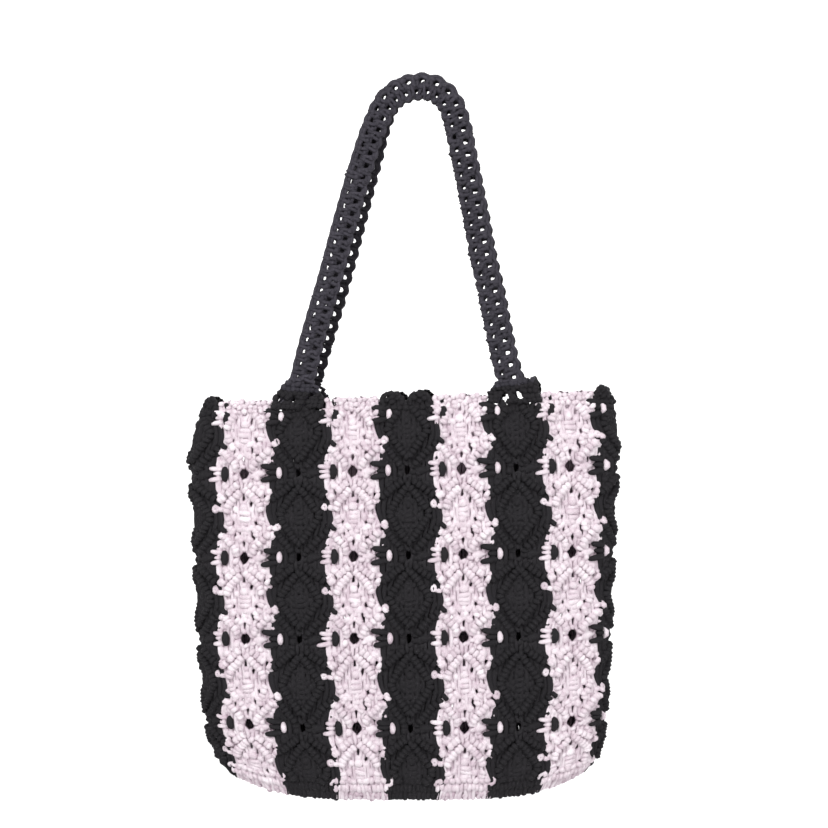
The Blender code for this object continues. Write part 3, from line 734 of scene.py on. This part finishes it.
TURN_HALF = 4.5                   # half the length of a turn of cord,
TURN_END = 2.3                    # how much of that its round end takes up,
TURN_SIDE = 2.2                   # and half its thickness


def clear_of_gaps(turns, gaps, room=GAP_SIZE * 0.8):
    """Pushes each turn of cord sideways until it leaves the small gaps open."""
    for x, y in gaps:
        turn = np.radians(turns[:, 3])
        way = np.stack([np.cos(turn), np.sin(turn)], -1)
        offset = np.stack([x - turns[:, 0], y - turns[:, 1]], -1)
        half = turns[:, 4] * TURN_HALF - turns[:, 5] * TURN_END
        along = np.clip((offset * way).sum(1), -half, half)
        nearest = offset - way * along[:, None]
        distance = np.linalg.norm(nearest, axis=1) + 1e-6
        short = np.clip(turns[:, 5] * TURN_SIDE + room - distance, 0, 1.2 * room + 0.8)
        turns[:, 0:2] -= nearest / distance[:, None] * short[:, None]
    return turns


def hitches_along(path, out, length, rise):
    """The turns of one bar of hitches: each lies square across the bar's line."""
    path = np.array(path, float)
    run = np.concatenate([[0.0], np.cumsum(np.hypot(*np.diff(path, axis=0).T))])
    number = int(round(run[-1] / HITCH_PITCH))
    turns = []
    for i in range(number):
        at = (i + 0.5) / number * run[-1]
        (x, before_x, after_x), (y, before_y, after_y) = (
            np.interp((at, at - 2, at + 2), run, path[:, axis]) for axis in (0, 1))
        way = math.degrees(math.atan2(after_y - before_y, after_x - before_x))
        turns.append((x, y, out, way + 90, length, 1.0, rise))
    return turns


def ring_path(stretch):
    """The line of the diamond's ring, once round."""
    angle = np.linspace(0, 2 * math.pi, 361)
    x = RING_REACH[0] * np.sign(np.cos(angle)) * np.abs(np.cos(angle)) ** (2 / RING_POWER)
    y = RING_REACH[1] * np.sign(np.sin(angle)) * np.abs(np.sin(angle)) ** (2 / RING_POWER)
    return np.stack([RING_MIDDLE[0] + x, (RING_MIDDLE[1] + y) * stretch], -1)


def knots_between_eyes(work, upper, lower, first, last, rows, white, knot, chance):
    """One cell: a ring of hitches with its cushion, the bars outside it and what lies between."""
    stretch = (lower - upper) / CELL
    lines = [(path, *BAR_HITCH) for path in BARS]
    if white:
        bars = []
        lines = list(PALE_RING) + lines
    else:
        bars = hitches_along(ring_path(stretch), *RING_HITCH)
    for path, out, length, rise in lines:
        bars += hitches_along([(x, y * stretch) for x, y in path], out, length, rise)
    loose = []
    for table in (CUSHION, BESIDE_RING) if white else (CUSHION, PACKED, BESIDE_RING):
        for across, down, turn, length, thick, rise in table:
            loose.append((
                across, down * stretch, LOOSE_OUT, turn, length, thick * LOOSE_THICK, rise * LOOSE_RISE))
    closer = 1.0 if white else 0.8
    for across, down, turn, length, thick, rise in BESIDE_EYE:
        loose.append((
            across * closer, down * closer, BESIDE_EYE_OUT, turn, length, thick, rise * BESIDE_EYE_RISE))
    # what lies near a border goes with it, and on a white strip the gaps are left open
    for turns, stray in ((bars, 0.7), (loose, 1.6 if white else 1.0)):
        turns = np.array(turns)
        if white:
            turns = clear_of_gaps(turns, [(x, y * stretch) for x, y in GAPS])
        turns[:, 1] += upper
        turns = turns[(turns[:, 1] > first) & (turns[:, 1] < last)]
        edge = np.clip(np.abs(turns[:, 0]) / HALF_STRIP, 0, 1) ** 3
        pull = drawn_in(turns[:, 1], rows, white) * np.sign(turns[:, 0])
        if white:
            pull = pull * 0.25
        turns[:, 0] += (border_shift(turns[:, 1], rows) * 0.8 - pull) * edge
        work.copies(knot, turns, chance, stray)


LOOPS = ((-24.6, 29.0, 12), (26.6, 44.8, -22))      # across, down from the eye, turn
BELOW_RIM = 18.0                  # no loop stands out closer to the rim than this


def border_loops(work, upper, lower, first, last, chance):
    """The loops that stand over the neighbour where a cord turns back."""
    stretch = (lower - upper) / CELL
    rows, lumps = [], []
    for across, down, turn in LOOPS:
        place = upper + down * stretch
        if first + BELOW_RIM < place < last:
            across += chance.normal(0, 0.8)
            rows.append((across, place, 4.2, turn, 1.0, 1.0, 1.0))
            lumps.append((across * 0.80, place + 1.5, 1.8, turn, 0.9, 1.0, 1.1))
    work.copies(border_loop, rows, chance, 1.6)
    work.copies(hitch, lumps, chance, 1.6)


def small_oval(work, down, rows, chance):
    """A short bit of cord that shows at the rim, over the strip to the right."""
    oval = HALF_STRIP + border_shift(down, rows) + 7.4 + chance.normal(0, 0.4)
    slot = [
        (oval + 0.5 * share, down + 2.6 * share, 1.6 + 4.2 * (1 - share ** 2))
        for share in (-1, -0.5, 0.5, 1)
    ]
    work.cords([slot], np.array([[0.6, 1.0, 1.0, 0.6]]) * 4.0, chance, sides=6)


# The fingers of a tie: how far below its middle each starts, how it slants and its share of
# their reach. From root to tip: how far along, how far out, and how thick each finger is.
FINGERS = ((-3.9, -0.30, 0.9), (-0.2, -0.10, 0.3), (3.4, 0.34, 1.0))
FINGER_ROOT = 6.0                 # how far inside the border they start
FINGER_STEPS = ((0, 2.2), (0.25, 4.6), (0.5, 5.6), (0.75, 5.2), (0.93, 4.0), (1.0, 3.0))
FINGER_THICK = np.array((
    (3.8, 4.2, 4.2, 3.8, 3.3, 1.9),
    (3.0, 3.4, 3.4, 3.0, 2.6, 1.5),
    (3.8, 4.2, 4.2, 3.8, 3.2, 1.8),
))
# The wedge: right from the border, down from the tie, out from the cloth.
WEDGE = (
    (-12.4, 0.6, 0.4), (-10.8, 0.5, 1.4), (-8.8, 0.4, 2.0),
    (-6.8, 0.3, 2.6), (-4.8, 0.3, 3.0), (-3.0, 0.3, 2.8),
)
WEDGE_THICK = (9.0, 9.4, 8.2, 6.0, 3.6, 1.2)
OVAL_STEPS = ((-1.0, 0.55), (-0.75, 0.85), (-0.3, 1.0), (0.3, 1.0), (0.75, 0.85), (1.0, 0.55))


def border_tie(work, down, rows, white, chance, with_slivers=True):
    """Where two strips are tied: three fingers go left over the neighbour, the middle one
    short. A wedge goes right between the neighbour's fingers, and comes out again as an
    upright oval over its first cords. Curved slivers of cord show above and below."""
    shift = border_shift(down, rows)
    left, right = -HALF_STRIP + shift, HALF_STRIP + shift
    reach, fat, apart = (4.2, 1.0, 1.0) if white else (6.8, 1.3, 1.16)
    fingers = []
    for lies, slant, share in FINGERS:
        tip = reach * share + chance.normal(0, 1.1)
        lies = lies * apart + chance.normal(0, 0.3)
        fingers.append([
            (left + FINGER_ROOT - step * (FINGER_ROOT + tip), down + lies + slant * step * tip, out)
            for step, out in FINGER_STEPS
        ])
    work.cords(fingers, FINGER_THICK * fat, chance, sides=6)
    wedge = [(right + x, down + y, out) for x, y, out in WEDGE]
    work.cords([wedge], [WEDGE_THICK], chance, sides=8)
    tall, wide, bow = (4.0, 4.9, 0.8) if white else (5.6, 6.2, 1.4)
    oval = right + 8.4 + chance.normal(0, 0.3)
    slot = [
        (oval - bow * share ** 2, down + tall * share, 1.4 + 4.6 * (1 - share ** 2))
        for share, _ in OVAL_STEPS
    ]
    work.cords([slot], np.array([[thick for _, thick in OVAL_STEPS]]) * wide, chance, sides=8)
    columns = [
        [(left + x, down + y, 2.4 + 1.4 * (1 - (y / 9.0) ** 2)) for y in np.linspace(-9.0, 9.0, 6)]
        for x in (2.8, 13.6)
    ]
    work.cords(columns, CORD * 1.1, chance, sides=6)
    if not with_slivers:
        return
    slivers = [
        ((left + 2.4, 3.0), (left + 1.4, 7.6), (left + 1.6, 12.6), (left + 3.6, 18.0)),
        ((right - 4.0, 7.8), (right - 2.0, 10.4), (right - 1.8, 14.4), (right - 3.4, 18.6)),
        ((left + 4.6, -19.0), (left + 2.2, -13.6), (left + 1.6, -8.6), (left + 2.4, -3.0)),
        ((right - 3.0, -15.4), (right - 1.8, -12.4), (right - 1.8, -10.0), (right - 3.6, -7.8)),
    ]
    heights = (1.6, 2.8, 2.8, 1.6)
    curves = [[(x, down + y, out) for (x, y), out in zip(sliver, heights)] for sliver in slivers]
    work.cords(curves, 4.3, chance, sides=6)


def foot_band(work, white, knot, chance):
    """The foot of the strip: a band of upright turns below a row of slanting ones, and two
    rows of short ones that turn under the bag. A white strip hooks over its neighbours just
    above the band."""
    band = [
        (x, DROP - 10.6 + chance.normal(0, 0.5), 2.0, 90.0, 0.86, 0.9, 1.0) for x in spread(14, 3.28)]
    under = [(x, DROP - 4.8, 1.0, chance.uniform(20, 160), 0.72, 1.0, 0.85) for x in spread(11, 4.2)]
    under += [(x, DROP - 1.2, 0.0, chance.uniform(50, 130), 0.7, 1.0, 0.75) for x in spread(12, 3.9)]
    band += [(x, DROP - 16.6, 1.8, chance.uniform(-60, 60), 0.8, 1.0, 1.05) for x in spread(9, 4.9)]
    # The band and the rows that turn under take darker tones: painted shade where the foot turns under the
    # bag.
    work.copies(knot, band, chance, 1.2, tones=(-0.2, 0.8))
    work.copies(knot, under, chance, 2.0, tones=(-1.4, -0.2))
    if not white:
        return
    hooks = [
        ((-20.0, -2.6, 2.6), (-22.2, -2.4, 4.8), (-24.0, -1.4, 5.2), (-24.6, 0.2, 4.8), (-23.8, 1.4, 3.4)),
        ((20.5, 1.6, 2.6), (23.4, 1.4, 4.8), (25.4, -0.2, 5.2), (25.8, -2.2, 4.8), (25.4, -4.0, 3.4)),
    ]
    hooks = np.array(hooks) + chance.normal(0, 0.7, (2, 1, 3)) * (1, 1, 0)
    hooks[..., 1] += DROP - 15.0
    work.cords(hooks, 3.1, chance, sides=6)


# The turns round a lobe of the rim: where its middle lies, how wide and deep their arc is,
# and how many degrees there are from one to the next.
LOBE_TURNS = {"lobed": (11.8, 8.6, 7.2, 23), "rounded": (13.4, 6.4, 6.6, 30)}


def rim_turns(work, rim, knot, chance):
    """The upper edge, where the cords were first hung on their holding cord. It is a bumpy
    level edge on a white strip, two lobes on a black one, and a dome below a handle."""
    rows = []
    if rim == "level":
        for down, number in ((1.6, 10), (5.2, 9), (8.8, 9)):
            rows += [(x, down, 2.0, chance.uniform(-65, 65), 0.66, 1.0, 1.05) for x in spread(number, 4.5)]
        work.copies(knot, rows, chance, 2.4)
        return
    if rim == "domed":
        for inside, out in ((0.0, 1.4), (5.4, 2.0)):
            path = [(x, top_edge(x, rim) + inside) for x in np.linspace(-20.5, 20.5, 15)]
            rows += hitches_along(path, out, 0.8, 1.1)
    else:
        middle, wide, deep, step = LOBE_TURNS[rim]
        for side in (-1, 1):
            for angle in range(-10, 200, step):
                x, y = math.cos(math.radians(angle)), math.sin(math.radians(angle))
                rows.append((side * middle + wide * x, 4.0 - deep * y, 1.8, 90 - angle, 0.8, 1.0, 1.1))
            for x, y in ((-4.0, 1.6), (0.2, -0.6), (4.2, 1.6), (0.0, 4.0)):
                inside = side * middle + x * wide / LOBE_TURNS["lobed"][1]
                rows.append((inside, y, 2.2, 20 * side, 0.8, 1.0, 1.1))
        rows.append((0.0, 6.6, 2.0, 90, 0.8, 1.0, 1.0))
        for i, x in enumerate(spread(9, 5.0)):
            rows.append((x, 9.4, 2.0, 16 * (-1) ** i, 0.85, 1.0, 1.1))
    work.copies(knot, rows, chance, 1.3)


def strip_node(strip):
    """The name of a strip. Those in front and those behind are both counted from the left,
    as they lie seen from the front."""
    if abs(strip) == SIDE_STRIP:
        return "side_strip_left" if strip < 0 else "side_strip_right"
    colour = "white" if strip % 2 else "black"
    if abs(strip) < SIDE_STRIP:
        return f"front_{colour}_strip_{strip + SIDE_STRIP}"
    return f"back_{colour}_strip_{(3 * SIDE_STRIP - strip) % STRIPS_AROUND}"


# Strips are numbered round the bag from the middle of the front, with those to the left of it
# below nought. The white ones are odd, and those past the two side strips lie behind.
HANDLE_STRIPS = (-2, 2, 6, -6)
LOWER_BEHIND = -12.0              # the eyes of the back lie higher, none behind one in front
FIRST_KNOTS = 11.0                # the cells' knots begin this far below the rim,
LAST_KNOTS = DROP - 16.0          # and end here, above the foot

for strip in (*range(-3, 9), *range(-7, -3)):
    chance = np.random.default_rng(500 + strip)
    white = strip % 2 == 1
    behind = abs(strip) > SIDE_STRIP
    knot = hitch_behind if behind else hitch
    rows = eye_rows(LOWER_BEHIND if behind else 0.0)
    if abs(strip) == SIDE_STRIP:
        rim = "rounded"
    elif white:
        rim = "level"
    else:
        rim = "domed" if strip in HANDLE_STRIPS else "lobed"
    work = Work()
    upright_cords(work, rows, white, behind, rim, chance)
    for upper, lower in zip(rows, rows[1:]):
        knots_between_eyes(work, upper, lower, FIRST_KNOTS, LAST_KNOTS, rows, white, knot, chance)
        if white:
            border_loops(work, upper, lower, FIRST_KNOTS, LAST_KNOTS - 4.0, chance)
    border_tie(work, RIM_TIE, rows, white, chance, with_slivers=False)
    for eye in rows[1:-1]:
        border_tie(work, eye, rows, white, chance)
    if not white:
        small_oval(work, 3.6, rows, chance)
    rim_turns(work, rim, knot, chance)
    foot_band(work, white, knot, chance)
    node = strip_node(strip)
    made = work.piece(
        node + "_knots", [white_cord if white else black_cord],
        lambda flat, strip=strip: lay_on_bag(strip, flat), painted_hollow_from=4.6, painted_hollow_to=0.0)
    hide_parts(node)
    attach(made, "root")


# ---- The base ----
# A narrow black panel closes the bag below, knotted in the same cord between the feet of
# the front and the back strips. It is seen only from underneath.

BASE_REACH = 3.9                  # from its middle to either end, in strips
BASE_HALF = 18.0                  # half its width while it is drawn flat
INSET = -3.4                      # it lies this far inside the foot of the cloth,
BASE_LEVEL = 2.2                  # and this far above it


def foot_of_cloth(around):
    """The foot of the cloth at places round the bag, set in to where the base is tied."""
    column = ((around + HALF_AROUND) % STRIPS_AROUND) / STRIPS_AROUND * (PLACES - 1)
    c0 = np.clip(column.astype(int), 0, PLACES - 2)
    c = (column - c0)[:, None]
    point = cloth_grid[-1, c0] * (1 - c) + cloth_grid[-1, c0 + 1] * c
    normal = cloth_normals[-1, c0] * (1 - c) + cloth_normals[-1, c0 + 1] * c
    return (point + normal * INSET) * MM


def lay_on_base(flat):
    """Points drawn flat on the base (across, from front to back, out) taken to their place."""
    around = flat[:, 0] / STRIP_WIDTH
    share = ((flat[:, 1] + BASE_HALF) / (2 * BASE_HALF))[:, None]
    placed = foot_of_cloth(around) * (1 - share) + foot_of_cloth(HALF_AROUND - around) * share
    placed[:, 2] += (BASE_LEVEL - flat[:, 2]) * MM
    return placed


work = Work()
chance = np.random.default_rng(41)
half_length = BASE_REACH * STRIP_WIDTH
lengthwise = np.linspace(-BASE_REACH, BASE_REACH, 150) * STRIP_WIDTH
lines = []
for share in np.linspace(0.03, 0.97, 10):
    beside = np.full_like(lengthwise, share * 2 * BASE_HALF - BASE_HALF)
    weave = 0.5 * np.sin(lengthwise / 6.0 + share * 40)
    lines.append(np.stack([lengthwise, beside, weave], axis=-1))
work.cords(lines, CORD, chance, sides=6)
turns = []
for column, across in enumerate(np.arange(5 - half_length, half_length - 4, 7.4)):
    for beside in (-13.0, -4.5, 4.5, 13.0) if column % 2 else (-9.0, 0.0, 9.0):
        for step in (-1.9, 1.9):
            turns.append((across + step, beside, 1.6, 90, 0.95, 1.0, 1.0))
work.copies(hitch_behind, turns, chance)
base_knots = work.piece("base_knots", [black_cord], lay_on_base, painted_hollow_from=3.5, painted_hollow_to=0.0)
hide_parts("base")
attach(base_knots, "root")


# ---- The handles ----
# Each handle is a flat band of alternating square knots tied with six black cords, which
# come out of two black strips. The outer cords bow out beside each knot, so that the edge
# is scalloped and a small gap shows between them and the next knot.

# Its deep tone is painted shade in the hollows of the handles' knots.
handle_cord = cord_material(
    "handle_cord", light=(0.058, 0.053, 0.068, 1), dark=(0.027, 0.025, 0.033, 1),
    deep=(0.016, 0.014, 0.019, 1), roughness=0.70, fuzz=0.8)

# where the band's middle lies, how far the front band is moved left of it and the back one
# right, and how far each lies from the plane between the two, all in millimetres
HANDLE_ROUTE = (
    (-115.2, -256.0, 1.4, 20.2), (-111.4, -238.0, 2.2, 17.6), (-106.4, -219.0, 3.0, 15.0),
    (-99.8, -195.0, 3.4, 12.6), (-87.4, -152.3, 3.6, 9.3), (-73.6, -100.0, 3.4, 6.6),
    (-59.2, -47.9, 2.6, 4.8), (-51.4, -21.9, 1.4, 4.2), (-41.4, 0.5, 0.5, 3.9),
    (-28.0, 11.0, 0.0, 3.9), (-12.0, 14.6, 0.0, 3.9), (1.5, 11.8, 0.0, 3.9),
    (12.5, 1.5, 0.0, 3.9), (19.0, -15.0, 0.0, 4.0), (23.5, -36.0, 0.0, 4.3),
    (28.8, -62.1, 0.3, 5.2), (35.3, -94.4, 0.5, 6.6), (41.2, -127.5, 0.8, 8.3),
    (48.6, -160.2, 1.0, 10.3), (54.5, -190.0, 1.0, 12.8), (59.3, -213.0, 1.0, 15.0),
    (64.4, -234.0, 1.5, 17.4), (68.9, -250.6, 2.0, 20.2),
)
KNOT_PITCH = 11.0
HANDLE_CORD = 3.8

# The three cords of either half of a band, from the outer one in. For each:
# - how far from the band's middle it lies, how far it bows out beside a knot, how far it
#   waves out of the band, and where it lies at the root
# - how much closer it lies and how much less it bows out on the left edge of the left leg
# - its share in the right leg's twist, and how far it is moved at the right root
BAND_CORDS = (
    (8.2, 2.0, 0.5, 20.4, 0.0, 1.5, 0.0, 0.0),
    (5.6, 2.7, -0.5, 14.2, 0.5, 1.5, 0.5, 0.0),
    (1.8, -0.9, 0.3, 1.2, 0.0, 0.0, 1.0, 2.0),
)
TWIST = 1.6

# how far above the rim the cords have gathered into the band, left and right, and how fast
ROOT_LENGTHS = ((17.0, 1.0), (11.5, 0.8))
ROOT_TURN = 17.0                  # from here down a band turns to lie along the rim,
ROOT_REACH = 8.0                  # and its cords run on over the strip's shoulders
ROOT_OUT = 3.6                    # this far out from the strip

# Small gaps in the roots, and a loose knot beside the right one: right of the root's middle
# and up from the rim, and for the knot's turns their slant.
LEFT_ROOT_HOLES = (
    (12.2, 13.0), (10.4, 10.0), (10.6, 4.4), (-4.3, 0.2), (-14.6, 0.2), (6.8, 0.4), (5.5, -6.0),
)
RIGHT_ROOT_HOLES = (
    (-13.0, -8.2), (-11.2, -6.6), (-9.4, -5.0), (-7.8, -3.5), (-6.4, -2.0), (2.4, -0.6),
    (3.6, -1.8), (4.6, -3.2),
)
HOLE_CLEAR = 3.3                  # how far a gap's middle is kept from the nearest cord's
ROOT_LOBE = ((17.0, 5.6, 30), (20.6, 6.2, -60), (19.0, 8.8, 10), (19.4, 3.4, 0))
# left and right: how high the root's turns go, its gaps, their room, the loose knot
ROOTS = ((15.0, LEFT_ROOT_HOLES, 1.8, ()), (9.0, RIGHT_ROOT_HOLES, 2.1, ROOT_LOBE))
ROOT_FOOT = -6.4                  # where the root's turns begin, up from the rim
ROOT_STEP_UP = 3.7                # from one row of them to the next,
ROOT_STEP_ASIDE = 4.1             # and from one turn to the next
BLACK_ROOT = 7.0                  # below this they are of the strip's own black cord


def band_route(side):
    """Points close together along a band, its length so far, and its way, in millimetres."""
    rows = np.array([(x + side * apart, side * depth, z) for x, z, apart, depth in HANDLE_ROUTE])
    rows = np.concatenate([[2 * rows[0] - rows[1]], rows, [2 * rows[-1] - rows[-2]]])
    points = []
    for before, start, end, after in zip(rows, rows[1:], rows[2:], rows[3:]):
        for t in np.linspace(0.0, 1.0, 24, endpoint=False):
            points.append(0.5 * (
                2 * start + (end - before) * t
                + (2 * before - 5 * start + 4 * end - after) * t ** 2
                + (3 * start - before - 3 * end + after) * t ** 3))
    points.append(rows[-2])
    points = np.array(points)
    lengths = np.concatenate([[0.0], np.cumsum(np.linalg.norm(np.diff(points, axis=0), axis=1))])
    return points, lengths


def band_layer(side):
    """Lays points drawn flat on a band (across, along, out) in their place."""
    points, lengths = band_route(side)
    ways = np.gradient(points, axis=0)
    ways[:, 1] = 0.0
    ways /= np.linalg.norm(ways, axis=1, keepdims=True)

    def lay(flat):
        at = np.clip(flat[:, 1], 0.0, lengths[-1])
        middle = np.stack([np.interp(at, lengths, points[:, i]) for i in range(3)], -1)
        way = np.stack([np.interp(at, lengths, ways[:, i]) for i in range(3)], -1)
        way /= np.linalg.norm(way, axis=1, keepdims=True)
        across = np.stack([way[:, 2], np.zeros(len(way)), -way[:, 0]], -1)
        for distance, along_rim in ((at, 1.0), (lengths[-1] - at, -1.0)):
            foot = np.clip(1 - distance / ROOT_TURN, 0, 1)[:, None] ** 1.5
            across = across * (1 - foot) + np.array([along_rim, 0.0, along_rim * RIM_SLOPE]) * foot
        past = flat[:, 1] - at
        placed = middle - side * across * flat[:, 0:1] + way * past[:, None]
        placed[:, 1] += side * (flat[:, 2] + np.clip(np.abs(past) / 4.0, 0, 1) * ROOT_OUT)
        return placed * MM

    return lay, lengths[-1]


def ring_paths(rows, height):
    """Closed turns round the band's cords: across, along, half width, slant."""
    angle = np.linspace(0, 2 * math.pi, 10, endpoint=False)
    paths = []
    for across, along, half, slant in rows:
        x = half * np.sign(np.cos(angle)) * np.abs(np.cos(angle)) ** 0.75
        h = height * np.sin(angle)
        paths.append(np.stack([across + x, along + slant * x / half * np.sign(h + 1e-6), h], -1))
    return np.array(paths)


KNOT_ASIDE = 3.7                  # how far from the band's middle a knot lies,
KNOT_REACH = 5.4                  # half its width,
KNOT_STEP = 1.75                  # and half the way from its one turn to the other
FULL_EDGE = 9.2                   # from the middle to the edge, where a band has its width
KNOTS_FROM = (9.0, 6.0)           # how far above the left and the right root they begin

for side, node, seed in ((-1, "front_handle", 61), (1, "back_handle", 62)):
    chance = np.random.default_rng(seed)
    lay, whole = band_layer(side)
    work = Work()
    knots = int(round(whole / KNOT_PITCH))
    pitch = whole / knots
    down = np.linspace(-ROOT_REACH, whole + ROOT_REACH, knots * 6 + 7)
    phase = 2 * math.pi * down / pitch - math.pi / 2
    ends = ((0.0, 1), (whole, -1))

    # the cords, gathered from the root, bowed out beside the knots and bent round the gaps
    foot = np.zeros(len(down))
    for nearest, (length, power) in zip((down, whole - down), ROOT_LENGTHS):
        foot += np.clip(1 - np.clip(nearest, 0, None) / length, 0, 1) ** power
    turned = TWIST * np.clip((down / whole - 0.5) * 6, 0, 1) * (1 - foot) * -side
    left_leg = np.clip((0.5 - down / whole) * 8, 0, 1)
    cords = []
    for place in (-1, 1):
        bow = 0.5 - 0.5 * side * place * np.cos(phase)
        for rest, swing, wave, at_root, drawn, less_bow, twist, moved in BAND_CORDS:
            if place == side:
                rest, swing = rest - drawn * left_leg, swing - less_bow * left_leg
            across = place * ((rest + swing * bow) * (1 - foot) + at_root * foot)
            across = across + turned * twist - moved * side * foot * (down > whole / 2)
            cords.append(np.stack([across, down, wave * np.sin(phase)], -1))
    cords = np.array(cords)
    edge = np.abs(cords[0, :, 0])
    for (start, way), (_, holes, _, _) in zip(ends, ROOTS):
        for x, up in holes:
            offset = cords[..., 0] + side * way * x
            short = HOLE_CLEAR - np.hypot(offset, cords[..., 1] - start - way * up)
            cords[..., 0] += np.where(offset < 0, -1, 1) * np.clip(short, 0, None)
    work.cords(cords, HANDLE_CORD, chance, sides=6)

    # the knots: two turns each, to the left and to the right by turns
    rings, crossings = [], []
    for knot in range(knots * 2):
        along = (knot + 0.5) * pitch / 2
        if not KNOTS_FROM[0] < along < whole - KNOTS_FROM[1]:
            continue
        wide = min(np.interp(along, down, edge) / FULL_EDGE, 1.5)
        place = -side if knot % 2 else side
        aside = np.interp(along, down, turned)
        middle = place * KNOT_ASIDE * wide + aside
        reach = KNOT_REACH - (0.7 if place * aside > 0 else 0.0) * abs(aside)
        for half in (-1, 1):
            rings.append((
                middle + chance.normal(0, 0.3), along + half * KNOT_STEP + chance.normal(0, 0.25),
                reach * wide + chance.normal(0, 0.7), half * chance.normal(0.8, 0.5)))
            crossings.append((
                middle + half * 2.7, along + half * place * 1.2, 1.5,
                90 + half * 24 * place, 0.62, 0.8, 0.78))
    work.cords(ring_paths(rings, 2.1), 3.6, chance, sides=5, closed=True)
    work.copies(hitch_behind, crossings, chance, 1.3)

    # the roots: rows of short turns, wider towards the strip
    for (start, way), (top, holes, room, lobe) in zip(ends, ROOTS):
        lumps = []
        for up in np.arange(ROOT_FOOT, top, ROOT_STEP_UP):
            reach = np.interp(start + way * up, down, edge) - 0.8
            number = int(round(2 * reach / ROOT_STEP_ASIDE))
            for i in range(number + 1):
                x = -reach + 2 * reach * i / number
                lumps.append((x, up, 0.6, chance.uniform(-50, 50), 0.74, 1.05, 1.15))
        lumps += [(x, up, 0.6, turn, 0.8, 1.1, 1.2) for x, up, turn in lobe]
        lumps = clear_of_gaps(np.array(lumps), holes, room)
        lumps[:, 0] *= -side * way
        lumps[:, 3] *= -side
        low = lumps[:, 1] < BLACK_ROOT
        lumps[:, 1] = start + way * lumps[:, 1]
        for skin, chosen, tones in ((1, lumps[low], (0.0, 1.0)), (0, lumps[~low], (-1.2, -0.4))):
            work.skin = skin
            work.copies(hitch, chosen, chance, 1.2, tones)
    made = work.piece(node + "_knots", [handle_cord, black_cord], lay, painted_hollow_from=1.6, painted_hollow_to=-1.0)
    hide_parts(node)
    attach(made, "root")
